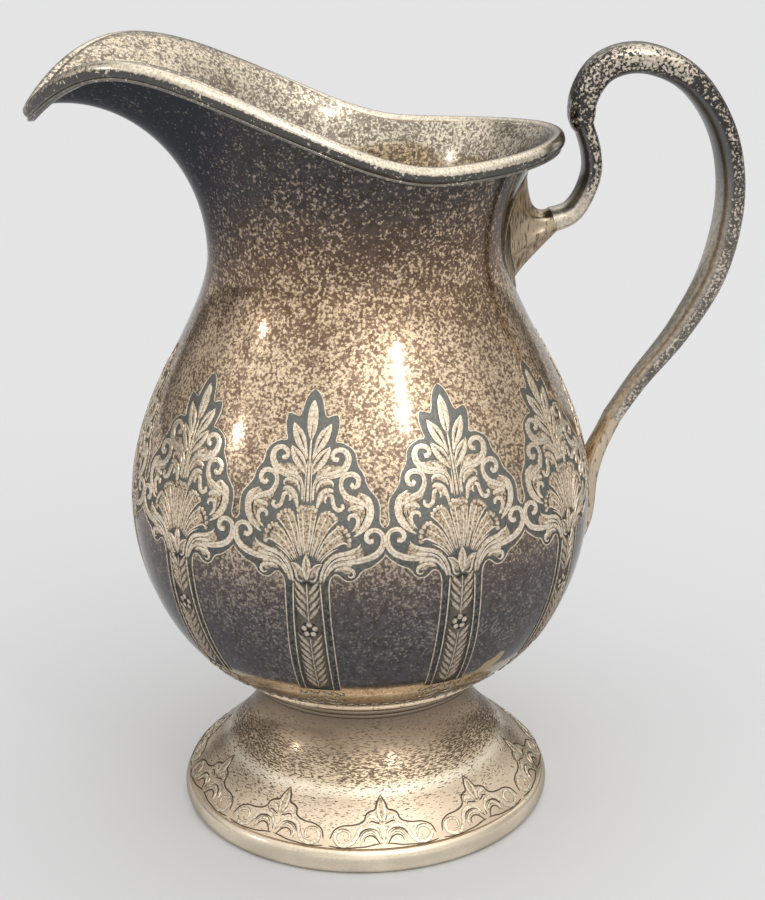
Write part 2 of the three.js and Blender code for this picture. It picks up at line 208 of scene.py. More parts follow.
def specks(tree, vector, scale):
    """Noise broken up by round cells, so that it makes specks and not worms."""
    noise = flecks(tree, vector, scale, 2.0, 0.55)
    cells = add(tree, "TexVoronoi", [("Vector", vector), ("Scale", 1.25 * scale)])
    gap = sums(tree, "SUBTRACT", 0.45, cells.outputs["Distance"])
    return plus(tree, noise, sums(tree, "MULTIPLY", gap, 0.22))


def roughen(tree, shader, height, strength, distance=0.0001):
    """Fine bump from a noise."""
    links = [("Height", height), ("Strength", strength), ("Distance", distance)]
    tree.links.new(add(tree, "Bump", links).outputs["Normal"], shader.inputs["Normal"])


def lead(tree, shader, colour, roughness):
    """Leads a colour and a roughness to the shader."""
    tree.links.new(colour, shader.inputs["Base Color"])
    tree.links.new(roughness, shader.inputs["Roughness"])


print("helpers for node trees are ready")

# %% [markdown]
# ## Light
# Metal looks like what stands round it, so the lights are chosen by where they must mirror. A
# narrow window lamp at the front right makes the tall streak on the shoulder. A small lamp far
# to the left makes two dots, because the shoulder bends from hollow to full and mirrors it
# twice. The rest is a pale room that glows softly in front, at both sides and above, without
# an edge that the metal could show.

# %% Lamps
bpy.context.scene.view_settings.view_transform = "Standard"
LAMP_TARGET = INTO_FRAME @ Vector((0, 0, 85))


def way_to(azimuth, elevation):
    """Direction from the jug; azimuth 0 is the camera's side, 90 the handle's."""
    a, e = math.radians(azimuth), math.radians(elevation)
    return Vector((math.sin(a) * math.cos(e), -math.cos(a) * math.cos(e), math.sin(e)))


def lamp(name, azimuth, elevation, distance, width, height, watts, shape="RECTANGLE"):
    """An area lamp that faces the shoulder."""
    way = way_to(azimuth, elevation)
    data = bpy.data.lights.new(name, "AREA")
    data.shape, data.size, data.size_y, data.energy = shape, width, height, watts
    made = bpy.data.objects.new(name, data)
    made.matrix_world = (
        Matrix.Translation(LAMP_TARGET + distance * way)
        @ way.to_track_quat("Z", "Y").to_matrix().to_4x4()
    )
    bpy.context.scene.collection.objects.link(made)
    print(name, "at", [round(x, 2) for x in made.matrix_world.translation])


lamp("window_lamp", azimuth=22, elevation=35, distance=0.65, width=0.028, height=0.085, watts=0.17)
lamp("dot_lamp", azimuth=-76, elevation=20.5, distance=0.7, width=0.022, height=0.022, watts=0.10,
     shape="DISK")

# %% Room
# azimuth and elevation of each glow, the cosine at which it ends, and its strength
ROOM_GLOWS = [(9, 6, 0.20, 0.80), (50, 79, 0.46, 1.20), (-78, 28, 0.76, 0.72),
              (-130, 20, 0.90, 0.26), (89, 11, 0.73, 0.33), (131, 30, 0.87, 0.57),
              (15, 46, 0.85, 0.28), (180, 38, 0.80, 0.75)]
ROOM_LEVEL = 0.24
world = bpy.data.worlds.new("pale_room")
bpy.context.scene.world = world
world.use_nodes = True
room = world.node_tree
direction = add(room, "TexCoord").outputs["Generated"]
level = ROOM_LEVEL
for azimuth, elevation, edge, strength in ROOM_GLOWS:
    links = [(0, direction), (1, way_to(azimuth, elevation))]
    near = add(room, "VectorMath", links, operation="DOT_PRODUCT").outputs["Value"]
    level = plus(room, ease(room, near, edge, 1, 0, strength), level)
backdrop = room.nodes["Background"]
backdrop.inputs["Color"].default_value = (1.0, 0.985, 0.96, 1)
room.links.new(level, backdrop.inputs["Strength"])
print("room level", ROOM_LEVEL, "with", len(ROOM_GLOWS), "glows")

# %% [markdown]
# ## Floor
# A plain pale floor carries the jug's shadow and mirrors in its lower belly. It reaches far
# behind the jug, so that its edge stays out of the picture.

# %% Floor
FLOOR_SIZE = 6.0
FLOOR_GREY = (0.66, 0.67, 0.69, 1)
bm = bmesh.new()
bmesh.ops.create_grid(bm, x_segments=4, y_segments=4, size=FLOOR_SIZE / 2)
floor_mesh = bpy.data.meshes.new("floor")
bm.to_mesh(floor_mesh)
bm.free()
floor = bpy.data.objects.new("floor", floor_mesh)
bpy.context.scene.collection.objects.link(floor)
floor_paint = bpy.data.materials.new("floor_paint")
floor_paint.use_nodes = True
floor_shader = floor_paint.node_tree.nodes["Principled BSDF"]
floor_shader.inputs["Base Color"].default_value = FLOOR_GREY
floor_shader.inputs["Roughness"].default_value = 0.8
floor_shader.inputs["Specular IOR Level"].default_value = 0.2
floor_mesh.materials.append(floor_paint)
print("floor", FLOOR_SIZE, "m across")

# %% [markdown]
# ## Tarnished plate of the body
# The shoulder is half covered with cream specks over brown. Lower down and on the neck the
# plate is slate with fewer, duller specks: partly tarnish and partly a painted reflection of a
# dark floor, while the bright shoulder is partly painted light. Under the spout a painted shade
# and reflection darkens it further, and just above the collar the golden band is a painted
# reflection of the bright foot. A painted picture could say all this, but nodes stay sharp at any
# size. So the share of specks and both colours are ramps over the height, and slow noise makes
# their change patchy. On one spot the plate is worn through to the brass.

# %% Body finishes
# The golden band above the collar is a painted reflection of the bright foot.
BAND_REFLECTION_DARK, BAND_REFLECTION = (0.84, 0.69, 0.51), (1.0, 0.86, 0.66)
# Painted shade and reflection under the spout's overhang.
SPOUT_SHADE_DARK, SPOUT_SHADE_SPECK = (0.038, 0.040, 0.048), (0.17, 0.155, 0.145)
OUTSIDE_COVER = [(27, 0.60), (37.0, 0.60), (37.8, 0.43), (50, 0.44), (58, 0.445), (66, 0.505),
                 (76, 0.535), (86, 0.535), (95, 0.525), (104, 0.50), (112, 0.44), (122, 0.41),
                 (145, 0.38)]
# Partly tarnish, partly painted light: darker below the girth and on the neck as a painted
# reflection of a dark floor, brighter on the shoulder as painted light.
OUTSIDE_DARK_AND_PAINTED_LIGHT = [(27, BAND_REFLECTION_DARK), (37.0, BAND_REFLECTION_DARK), (37.8, (0.084, 0.082, 0.090)),
                (48, (0.092, 0.087, 0.094)), (57, (0.125, 0.108, 0.105)),
                (66, (0.205, 0.155, 0.126)), (80, (0.31, 0.222, 0.158)),
                (95, (0.31, 0.212, 0.145)), (104, (0.27, 0.173, 0.110)),
                (112, (0.145, 0.094, 0.066)), (122, (0.064, 0.055, 0.052)), (145, SPOUT_SHADE_DARK)]
OUTSIDE_LIGHT_AND_PAINTED_LIGHT = [(27, BAND_REFLECTION), (37.0, BAND_REFLECTION), (37.8, (0.27, 0.245, 0.232)),
                 (48, (0.29, 0.262, 0.245)), (57, (0.38, 0.325, 0.28)), (66, (0.72, 0.58, 0.43)),
                 (80, (1.0, 0.80, 0.58)), (95, (1.0, 0.80, 0.575)), (104, (1.0, 0.78, 0.53)),
                 (112, (0.76, 0.575, 0.39)), (122, (0.42, 0.34, 0.27)), (145, SPOUT_SHADE_SPECK)]
INSIDE_COVER = [(27, 0.50), (110, 0.51), (126, 0.53), (145, 0.53)]
# Darker down in the hollow of the body: painted shade inside.
INSIDE_DARK_AND_SHADE = [(27, (0.17, 0.14, 0.11)), (110, (0.26, 0.22, 0.175)), (126, (0.35, 0.30, 0.245)),
               (145, (0.28, 0.24, 0.195))]
INSIDE_LIGHT_AND_SHADE = [(27, (0.58, 0.48, 0.36)), (110, (0.95, 0.84, 0.67)), (126, (1.0, 0.91, 0.75)),
                (145, (0.80, 0.70, 0.55))]
FILM = 0.4


def spout_shade_mask(tree):
    """1 below the spout's overhang, where painted shade and reflection darken the plate, 0
    elsewhere.
    """
    front = ease(tree, along(tree, "X"), -0.038, -0.021, 1, 0)
    return sums(tree, "MULTIPLY", front, ease(tree, along(tree, "Z"), 0.095, 0.116))


def worn_spot(tree, centre, turn, size):
    """1 inside a ragged oval, 0 elsewhere."""
    links = [("Vector", object_place(tree)), ("Location", centre), ("Rotation", turn),
             ("Scale", size)]
    oval = add(tree, "Mapping", links, vector_type="TEXTURE").outputs["Vector"]
    reach = add(tree, "VectorMath", [(0, oval)], operation="LENGTH").outputs["Value"]
    rag = sums(tree, "MULTIPLY", flecks(tree, place(tree), 420, 2.0), 0.9)
    return ease(tree, plus(tree, reach, rag), 1.42, 1.36)


def tarnish_and_painted_light(name, cover, dark, light, outside):
    """Light specks over tarnish; the colours by height carry painted light, and only the outside
    has a painted shade under its spout and a worn spot.
    """
    finish, tree, shader = new_finish(name, FILM)
    z = along(tree, "Z")
    grain = flecks(tree, place(tree, shift=(0.7, 0.2, 0.1)), 2700, 3.0, 0.7)
    speck = specks(tree, place(tree, shift=(0.3, 0.1, 0)), 1750)
    cloud = flecks(tree, place(tree, shift=(0.1, 0.6, 0.2)), 800, 4.0, 0.65)
    slow = sway(tree, flecks(tree, place(tree), 60, 2.0), 0.32)
    patch = sway(tree, flecks(tree, place(tree), 520, 3.0), 0.42)
    share = plus(tree, by_height(tree, z, cover), slow, patch)
    pale = blend(tree, ease(tree, grain, 0.32, 0.62), (0.55, 0.50, 0.43), (1, 1, 1))
    tone = tint(tree, by_height(tree, z, light), pale)
    murk = blend(tree, ease(tree, cloud, 0.34, 0.66), (0.62, 0.57, 0.53), (1, 1, 1))
    deep = tint(tree, by_height(tree, z, dark), murk)
    if outside:
        # painted shade and reflection under the spout
        under = spout_shade_mask(tree)
        share = sums(tree, "SUBTRACT", share, sums(tree, "MULTIPLY", under, 0.04))
        tone = blend(tree, under, tone, SPOUT_SHADE_SPECK)
        deep = blend(tree, under, deep, SPOUT_SHADE_DARK)
        tree.links.new(ease(tree, under, 0, 1, FILM, 0), shader.inputs["Coat Weight"])
    mask = ease(tree, plus(tree, speck, share), 0.93, 1.13)
    colour = blend(tree, mask, deep, tone)
    if outside:
        colour = blend(tree, worn_spot(tree, *WORN_SPOT), colour, WORN_BRASS)
    lead(tree, shader, colour, ease(tree, mask, 0, 1, 0.18, 0.13))
    roughen(tree, shader, speck, 0.03)
    return finish


WORN_SPOT = ((0.01235, -0.0303, 0.0379), (0, math.radians(-37), 0), (0.0046, 0.004, 0.0014))
WORN_BRASS = (0.52, 0.40, 0.20)
BODY_OUTSIDE = tarnish_and_painted_light("body_plate", OUTSIDE_COVER, OUTSIDE_DARK_AND_PAINTED_LIGHT, OUTSIDE_LIGHT_AND_PAINTED_LIGHT, True)
BODY_INSIDE = tarnish_and_painted_light("inner_plate", INSIDE_COVER, INSIDE_DARK_AND_SHADE, INSIDE_LIGHT_AND_SHADE, False)
print("body finishes", BODY_OUTSIDE.name, BODY_INSIDE.name)

# %% [markdown]
# ## Cast handle and rim
# Castings are more porous than spun sheet, so they hold black tarnish in their pits and show
# cream only where a hand rubs them. An attribute called rubbed tells how much each place is
# handled: 1 on edges and crests, 0 on the faces that no finger reaches, which stay smooth. On
# the loop a rubbed edge along the inner face is also painted as a highlight line. A second one,
# called bare, is 1 where such a face was wiped from slate to a pale grey, and on the rim's bead
# it paints a highlight line.

# %% Handle finish
HANDLE_BLACK, HANDLE_SMOOTH = (0.036, 0.034, 0.033), (0.105, 0.107, 0.104)
HANDLE_GREY, HANDLE_CREAM = (0.76, 0.68, 0.56), (0.74, 0.645, 0.515)
RIM_BROWN, RIM_SMOOTH = (0.20, 0.165, 0.125), (0.088, 0.084, 0.077)
RIM_CREAM = (0.88, 0.775, 0.62)


def uneven(tree, share, colour):
    """A colour that is dulled by two fifths where share is 0."""
    return blend(tree, share, tuple(0.6 * c for c in colour), colour)


def mottled(name, cover, gain, scale, dark, smooth_dark, light):
    """Rubbed cream over black; gain tells how strongly the rubbed attribute works."""
    finish, tree, shader = new_finish(name, 0.5)
    rubbed, bare = attribute(tree, "rubbed"), attribute(tree, "bare")
    slow = sway(tree, flecks(tree, place(tree), 130, 2.0), 0.35)
    speck = specks(tree, place(tree, shift=(0.2, 0.4, 0)), scale)
    handled = sums(tree, "MULTIPLY", rubbed, gain)
    mask = ease(tree, plus(tree, speck, slow, handled, cover), 0.93, 1.09)
    worn = sums(tree, "MAXIMUM", ease(tree, rubbed, 1.1, 1.5), bare)
    grey = uneven(tree, ease(tree, flecks(tree, place(tree), 1300, 4.0), 0.36, 0.64), HANDLE_GREY)
    faces = blend(tree, bare, smooth_dark, grey)
    edges = blend(tree, worn, dark, grey)
    tarnish = blend(tree, ease(tree, rubbed, 0.1, 0.6), faces, edges)
    pale = uneven(tree, ease(tree, flecks(tree, place(tree), 2400, 2.0), 0.3, 0.65), light)
    lead(tree, shader, blend(tree, mask, tarnish, pale), ease(tree, mask, 0, 1, 0.34, 0.20))
    roughen(tree, shader, speck, 0.12)
    return finish


HANDLE_CAST = mottled("handle_plate", 0.25, 0.25, 1850, HANDLE_BLACK, HANDLE_SMOOTH, HANDLE_CREAM)
RIM_PLATE = mottled("rim_plate", 0.33, 0.40, 1700, RIM_BROWN, RIM_SMOOTH, RIM_CREAM)
print("handle finishes", HANDLE_CAST.name, RIM_PLATE.name)

# %% [markdown]
# ## Bright foot, collar, heel and socket
# The foot is cleaned more often than the belly. Its plate is warm and pale, with fine dark
# streaks that run round it, as polishing leaves them. Its change of colour with height is painted
# light: the cove under the belly is a painted shade, and the bright bands lower down are painted
# reflections. A brushed look could come from an anisotropic shader, but these streaks show as
# colour too, so the noise itself is stretched: squeezed in height, its flecks turn into streaks.

# %% Foot, collar, heel and socket finishes
# Painted light by height: a painted shade in the cove under the belly, and painted reflections in
# the bright bands lower down.
FOOT_PALE_AND_PAINTED_LIGHT = [(0, (1.0, 0.90, 0.74)), (4, (0.94, 0.82, 0.65)), (5.5, (0.78, 0.62, 0.455)),
             (8, (0.86, 0.71, 0.535)), (11, (0.72, 0.59, 0.44)), (12.4, (1.0, 0.89, 0.72)),
             (13.6, (0.80, 0.655, 0.47)), (15.5, (0.76, 0.61, 0.43)), (17.5, (0.54, 0.42, 0.295)),
             (20.5, (0.34, 0.256, 0.182)), (24.3, (0.22, 0.168, 0.128))]
FOOT_COVER = [(0, 0.32), (6, 0.37), (8.5, 0.42), (10.5, 0.46), (12.4, 0.44), (13.6, 0.53),
              (15, 0.56), (17, 0.55), (19, 0.47), (24, 0.42)]
FOOT_STREAK = (0.145, 0.108, 0.074)
# The collar's lower beads are a painted shade under the belly, and its upper fillet a painted
# reflection in the band's gold.
COLLAR_SHADE, COLLAR_STREAK = (0.23, 0.185, 0.145), (0.24, 0.18, 0.115)
COLLAR_SHADE_AND_REFLECTION = [(0, COLLAR_SHADE), (26.7, COLLAR_SHADE), (27.6, BAND_REFLECTION_DARK), (150, BAND_REFLECTION_DARK)]
HEEL_PALE = [(0, (0.66, 0.54, 0.40)), (150, (0.62, 0.51, 0.385))]
HEEL_COVER = [(0, 0.42), (150, 0.44)]
HEEL_STREAK = (0.25, 0.20, 0.145)
SOCKET_PALE, SOCKET_STREAK = (0.52, 0.42, 0.30), (0.17, 0.128, 0.088)


def streaked(name, pale, streak, cover, stretch, roughness=(0.26, 0.36)):
    """Pale plate with fine dark streaks; pale and cover by height, stretch by axis; on the foot and
    collar pale carries painted light.
    """
    finish, tree, shader = new_finish(name)
    z = along(tree, "Z")
    long = flecks(tree, place(tree, scale=stretch), 1250, 3.0, 0.6)
    slow = flecks(tree, place(tree), 90, 2.0)
    value = plus(tree, long, sway(tree, slow, 0.17))
    mask = ease(tree, sums(tree, "SUBTRACT", by_height(tree, z, cover), value), -0.03, 0.09)
    plate = by_height(tree, z, pale)
    haze = ease(tree, plus(tree, slow, sums(tree, "MULTIPLY", long, 0.5)), 0.55, 0.95)
    hazy = blend(tree, 0.25, plate, blend(tree, haze, plate, streak))
    lead(tree, shader, blend(tree, mask, hazy, streak), ease(tree, mask, 0, 1, *roughness))
    roughen(tree, shader, long, 0.04)
    return finish


FOOT_PLATE = streaked("foot_plate", FOOT_PALE_AND_PAINTED_LIGHT, FOOT_STREAK, FOOT_COVER, (1, 1, 5.2), (0.20, 0.32))
BRIGHT_PLATE = streaked("bright_plate", COLLAR_SHADE_AND_REFLECTION, COLLAR_STREAK, 0.40, (1, 1, 1.6))
HEEL_PLATE = streaked("heel_plate", HEEL_PALE, HEEL_STREAK, HEEL_COVER, (1.2, 1.2, 0.3))
SOCKET_PLATE = streaked("socket_plate", SOCKET_PALE, SOCKET_STREAK, 0.47, (1.6, 1.6, 0.25))
print("bright finishes", FOOT_PLATE.name, BRIGHT_PLATE.name, HEEL_PLATE.name, SOCKET_PLATE.name)

# %% [markdown]
# ## From an edited mesh to a finished piece
# Every piece ends the same way: doubles are merged, faces are turned outwards, the mesh goes
# from millimetres to its place, the piece is tied to the body, and the solid that it stands for
# is hidden. An open sheet may come out turned inwards, so the face that reaches furthest back
# is looked at. Edges sharper than a chosen angle stay crisp.

# %% Finish a piece
CRISP = math.radians(50)
MERGE = 0.0005


def finish_piece(bm, name, finishes, slot, *nodes):
    """Turns a mesh in millimetres into a piece of the jug."""
    bmesh.ops.remove_doubles(bm, verts=bm.verts, dist=MERGE)
    bmesh.ops.recalc_face_normals(bm, faces=bm.faces)
    farthest = max(bm.faces, key=lambda face: face.calc_center_median().y)
    if farthest.normal.y < 0:
        bmesh.ops.reverse_faces(bm, faces=bm.faces)
    bmesh.ops.transform(bm, matrix=INTO_FRAME, verts=bm.verts)
    mesh = bpy.data.meshes.new(name)
    bm.to_mesh(mesh)
    bm.free()
    mesh.shade_smooth()
    mesh.set_sharp_from_angle(angle=CRISP)
    for finish in finishes:
        mesh.materials.append(finish)
    piece = bpy.data.objects.new(name, mesh)
    bpy.context.scene.collection.objects.link(piece)
    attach(piece, "root")
    if nodes:
        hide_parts(*nodes)
    print(name, sum(len(face.vertices) - 2 for face in mesh.polygons), "triangles")
    return piece


print("edges over %.0f degrees stay crisp" % math.degrees(CRISP))

# %% [markdown]
# ## Turned pieces
# The foot, its wire and the collar are round, so each is a drawn section that spins once
# round the axis. A section is a loop of points at a radius and a height, and beads and coves in
# it are parts of ellipses and Bezier bows.

# %% Spin a section
ROUND_STEPS = 192


def chain(bm, points, closed):
    """A line of edges through points."""
    verts = [bm.verts.new(p) for p in points]
    pairs = list(zip(verts, verts[1:])) + ([(verts[-1], verts[0])] if closed else [])
    return verts + [bm.edges.new(pair) for pair in pairs]


def spun(points, closed=True):
    """A mesh turned on the axis from points of radius and height."""
    bm = bmesh.new()
    section = chain(bm, [(r, 0, z) for r, z in points], closed)
    bmesh.ops.spin(bm, geom=section, cent=(0, 0, 0), axis=(0, 0, 1), angle=math.tau,
                   steps=ROUND_STEPS, use_merge=True)
    return bm


def bow(a, b, c, d, count):
    """Points along a Bezier bow of radius and height."""
    ends = [Vector((*p, 0)) for p in (a, b, c, d)]
    return [tuple(p.xy) for p in interpolate_bezier(*ends, count)]


def arc(r, z, wide, tall, start, end, count):
    """Points along part of an ellipse, in degrees."""
    angles = [math.radians(start + (end - start) * i / (count - 1)) for i in range(count)]
    return [(r + wide * math.cos(a), z + tall * math.sin(a)) for a in angles]


print("turned pieces have", ROUND_STEPS, "steps")

# %% [markdown]
# ## Foot, wire and collar
# The foot is spun from sheet and stays hollow. A rounded wire stiffens its edge, and a beaded
# ring joins it to the body. A cylinder with loop cuts could be shaped into each of them, but a
# drawn section keeps every bead and fillet in one line of points.

# %% Foot, wire and collar
FOOT_EDGE, FOOT_TOP, FOOT_HOLE = 34.5, 24.3, 16.5
foot_skin = bow((FOOT_EDGE, 5.1), (27.3, 12.5), (20.2, 16.0), (20.2, FOOT_TOP), 40)
foot_inside = bow((33.6, 4.3), (26.2, 11.3), (19.0, 15.6), (19.0, 23.1), 30)
foot_section = foot_skin + [(FOOT_HOLE, FOOT_TOP), (FOOT_HOLE, 23.1)] + foot_inside[::-1]
finish_piece(spun(foot_section), "pedestal_foot", [FOOT_PLATE], "foot_plate", "pedestal_foot")

wire_section = [(32.4, 0.0), *arc(33.9, 2.4, 1.5, 2.4, -90, 90, 18), (33.3, 4.95), (32.4, 4.6)]
finish_piece(spun(wire_section), "foot_wire", [FOOT_PLATE], "foot_plate", "foot_wire")

collar_section = [(FOOT_HOLE, FOOT_TOP), (20.1, FOOT_TOP)]
collar_section += arc(21.62, 25.18, 0.58, 0.58, -90, 70, 9)
collar_section += arc(22.32, 26.33, 0.58, 0.58, -70, 35, 7)
collar_section += [(23.1, 27.2), (23.9, 27.75), (24.8, 28.2)]
collar_section += arc(25.7, 28.9, 0.5, 0.5, -120, 55, 7)
collar_section += [(24.7, 28.6), (23.5, 28.1), (21.5, 27.5), (19.6, 27.15), (FOOT_HOLE, 27.15)]
finish_piece(spun(collar_section), "foot_collar", [BRIGHT_PLATE], "bright_plate", "foot_collar")

# %% [markdown]
# ## Body and lip
# The body is spun from one line: a flat floor, a full bowl and a drawn-in shoulder. Its top
# rows then have to become a saddle with a long spout, which no spin gives. So the line first
# runs straight up above the neck, and each of those rows is then moved along a bow that
# leaves the neck and ends at the lip. The bow's end is the lip's edge at that turn. The girth
# is a quarter of a millimetre less than the solid's, which leaves room for the raised ornament.

# %% The lip as a formula
NECK_RADIUS, NECK_HEIGHT = 26.8, 108.0
LIP_STATIONS = [(0, 127.6), (62, 126.1), (132, 143.8), (180, 134.5)]
LIP_MIDDLE, LIP_HALF = -8, 30.4
LIP_BACK, LIP_SPOUT = (43.5, 1.0), (47.6, 1.3)


def lerp(a, b, t):
    """The place between a and b at share t."""
    return a + (b - a) * t


def smooth(value, low, high):
    """A soft step from 0 at low to 1 at high."""
    t = min(1, max(0, (value - low) / (high - low)))
    return t * t * (3 - 2 * t)


def lip_height(turn):
    """Height of the lip: back, low sides, crest of the spout and its tip, eased between."""
    half = math.degrees(math.acos(max(-1, min(1, math.cos(turn)))))
    for (a0, z0), (a1, z1) in zip(LIP_STATIONS, LIP_STATIONS[1:]):
        if half <= a1 + 1e-6:
            return lerp(z0, z1, smooth(half, a0, a1))


@cache
def lip_edge(turn):
    """Edge of the lip: half an ellipse at the back, a pointed half at the spout."""
    c, s = math.cos(turn), math.sin(turn)
    reach, point = LIP_BACK if c > 0 else LIP_SPOUT
    side = LIP_HALF * math.copysign(abs(s) ** point, s)
    return Vector((LIP_MIDDLE + reach * c, side, lip_height(turn)))


@cache
def lip_bow(turn):
    """Bow from the neck to the lip's edge."""
    spout = ((1 - math.cos(turn)) / 2) ** 3
    edge = lip_edge(turn)
    neck = Vector((NECK_RADIUS * math.cos(turn), NECK_RADIUS * math.sin(turn), NECK_HEIGHT))
    lift = neck + Vector((0, 0, lerp(0.4, 0.7, spout) * (edge.z - NECK_HEIGHT)))
    flare = edge.lerp(neck, lerp(0.6, 0.47, spout))
    flare.z = edge.z + lerp(-4.5, 3.3, spout)
    return neck, lift, flare, edge


def on_bow(ends, t):
    """Point on a bow at share t."""
    a, b, c, d = ends
    s = 1 - t
    return s**3 * a + 3 * s * s * t * b + 3 * s * t * t * c + t**3 * d


print("lip heights", [round(lip_height(math.radians(a)), 1) for a in range(0, 181, 30)])

# %% [markdown]
# ## Body shell
# The spun sheet is less than a millimetre thick. It could be a closed section too, but one skin
# is easier to move along the bows. So the wall comes last, from a Solidify modifier that grows
# inwards and gives the inside its own finish.

# %% Body shell
LIP_ROWS = 40
LIP_END = 0.985
WALL = 0.8
FLOOR_HEIGHT = 27.2
GIRTH, GIRTH_HEIGHT = 42.46, 61.5
bowl = bow((19.5, FLOOR_HEIGHT), (33.7, 29.2), (GIRTH, 45.1), (GIRTH, GIRTH_HEIGHT), 44)
shoulder = bow((GIRTH, GIRTH_HEIGHT), (GIRTH, 81.3), (NECK_RADIUS, 96),
               (NECK_RADIUS, NECK_HEIGHT), 46)
belly_line = bowl + shoulder[1:]
upright = [(NECK_RADIUS, NECK_HEIGHT + (i + 1) / LIP_ROWS) for i in range(LIP_ROWS)]
bm = spun([(0, FLOOR_HEIGHT), (10, FLOOR_HEIGHT), *belly_line, *upright], closed=False)
for vert in bm.verts:
    if vert.co.z > NECK_HEIGHT + 1e-4:
        turn = math.atan2(vert.co.y, vert.co.x)
        vert.co = on_bow(lip_bow(round(turn, 7)), LIP_END * min(1, vert.co.z - NECK_HEIGHT))
body = finish_piece(bm, "body_shell", [BODY_OUTSIDE, BODY_INSIDE], "body_plate", "body_shell")
wall = body.modifiers.new("wall", "SOLIDIFY")
wall.thickness, wall.offset, wall.material_offset = WALL * MM, -1, 1
wall.material_offset_rim = 1
wall.use_even_offset = True

# %% [markdown]
# ## Rim wire
# A moulded wire is soldered round the lip: a roll that covers the edge, a groove, and a fine
# bead below. A curve with a bevel object could follow the lip, but it would twist where the lip
# bends. So the wire is spun as a plain ring first, and each of its points is then carried to
# the lip, keeping its place in the section.

# %% Rim wire
RING = 40.0
ROLL_P, ROLL_Q = 0.35, -0.55
rim_section = arc(ROLL_P, ROLL_Q, 1.4, 1.4, 158, -62, 26)
rim_section += arc(0.75, -2.05, 0.36, 0.36, 75, -100, 9)
rim_section += [(0.0, -2.4), (-0.2, -1.0), (-0.6, -1.4), (-0.82, -0.7)]
bm = spun([(RING + p, q) for p, q in rim_section])
rubbed, bare = [bm.verts.layers.float.new(name) for name in ("rubbed", "bare")]
for vert in bm.verts:
    turn = math.atan2(vert.co.y, vert.co.x)
    p, q = math.hypot(vert.co.x, vert.co.y) - RING, vert.co.z
    slope = math.degrees(math.atan2(q - ROLL_Q, p - ROLL_P))
    tip = smooth(-math.cos(turn), 0.6, 0.95)
    vert[rubbed] = lerp(1, 0.5, tip) * smooth(slope, -4, 16) if q > -1.3 else 0
    # pale grey on the bead's outer face: a painted highlight line
    vert[bare] = 0.22 * smooth(p, 0.9, 1.08) if q < -1.6 else 0
    way = (lip_edge(turn + 0.01) - lip_edge(turn - 0.01)).normalized()
    out = way.cross(Vector((0, 0, 1))).normalized()
    vert.co = lip_edge(turn) + p * out + q * out.cross(way)
finish_piece(bm, "rim_wire", [RIM_PLATE], "handle_plate", "rim_wire")

# %% [markdown]
# ## Handle
# The handle is cast in one plane: an ear-shaped loop, a thin branch to the neck with a flared
# socket, and a heel that runs down the belly. Each is a bar whose section changes along its
# line. A circle is drawn out into a straight bar, by a spin that moves instead of turning,
# and then every ring of the bar is laid along the line with its own size.

# %% Lines and bars
def smooth_line(points, count):
    """Evenly spaced points on a smooth line through points."""
    knots = [Vector(p) for p in points]
    knots = [2 * knots[0] - knots[1], *knots, 2 * knots[-1] - knots[-2]]
    dense = []
    for p0, p1, p2, p3 in zip(knots, knots[1:], knots[2:], knots[3:]):
        d0, d1, d2 = (math.sqrt((b - a).length) for a, b in ((p0, p1), (p1, p2), (p2, p3)))
        start = ((p1 - p0) / d0 - (p2 - p0) / (d0 + d1) + (p2 - p1) / d1) * d1
        end = ((p2 - p1) / d1 - (p3 - p1) / (d1 + d2) + (p3 - p2) / d2) * d1
        dense += interpolate_bezier(p1, p1 + start / 3, p2 - end / 3, p2, 24)[:-1]
    dense.append(knots[-2])
    lengths = [0.0]
    for a, b in zip(dense, dense[1:]):
        lengths.append(lengths[-1] + (b - a).length)
    line, k = [], 0
    for i in range(count + 1):
        target = lengths[-1] * i / count
        while k < len(dense) - 2 and lengths[k + 1] < target:
            k += 1
        share = (target - lengths[k]) / (lengths[k + 1] - lengths[k])
        line.append(dense[k].lerp(dense[k + 1], share))
    return line


def ways(line):
    """Direction of a line at each of its points."""
    ends = [(line[max(0, i - 1)], line[min(len(line) - 1, i + 1)]) for i in range(len(line))]
    return [(b - a).normalized() for a, b in ends]


def bar(steps, sides, lay, rub=None):
    """A bar whose every point is laid, and rubbed, by its step and its angle."""
    bm = bmesh.new()
    layers = [bm.verts.layers.float.new(name) for name in ("rubbed", "bare")] if rub else []
    ring = bmesh.ops.create_circle(bm, segments=sides, radius=1)["verts"]
    bmesh.ops.spin(bm, geom=ring + bm.edges[:], cent=(0, 0, 0), axis=(0, 0, 1), angle=0,
                   dvec=(0, 0, 1), steps=steps)
    for vert in bm.verts:
        step, angle = round(vert.co.z), math.atan2(vert.co.y, vert.co.x)
        vert.co = lay(step, angle)
        for layer, value in zip(layers, rub(step, angle) if rub else ()):
            vert[layer] = value
    bmesh.ops.holes_fill(bm, edges=[e for e in bm.edges if e.is_boundary])
    return bm


def section(centre, way, thick, deep, angle, square=3.0):
    """Point of a softly squared section that stands across a line in the handle's plane."""
    c, s = math.cos(angle), math.sin(angle)
    swell = (abs(c) ** square + abs(s) ** square) ** (-1 / square)
    across = Vector((way.z, 0, -way.x))
    return centre + thick * swell * c * across + Vector((0, deep * swell * s, 0))


print("lines and bars are ready")

# %% [markdown]
# ## Loop of the handle
# The loop starts in a rounded knuckle, rises under the thumb, bulges and swings back to the
# belly. A curve object with a bevel would keep one section all along. So the bar is laid ring
# by ring instead, and it swells under the thumb and grows thin toward its end.

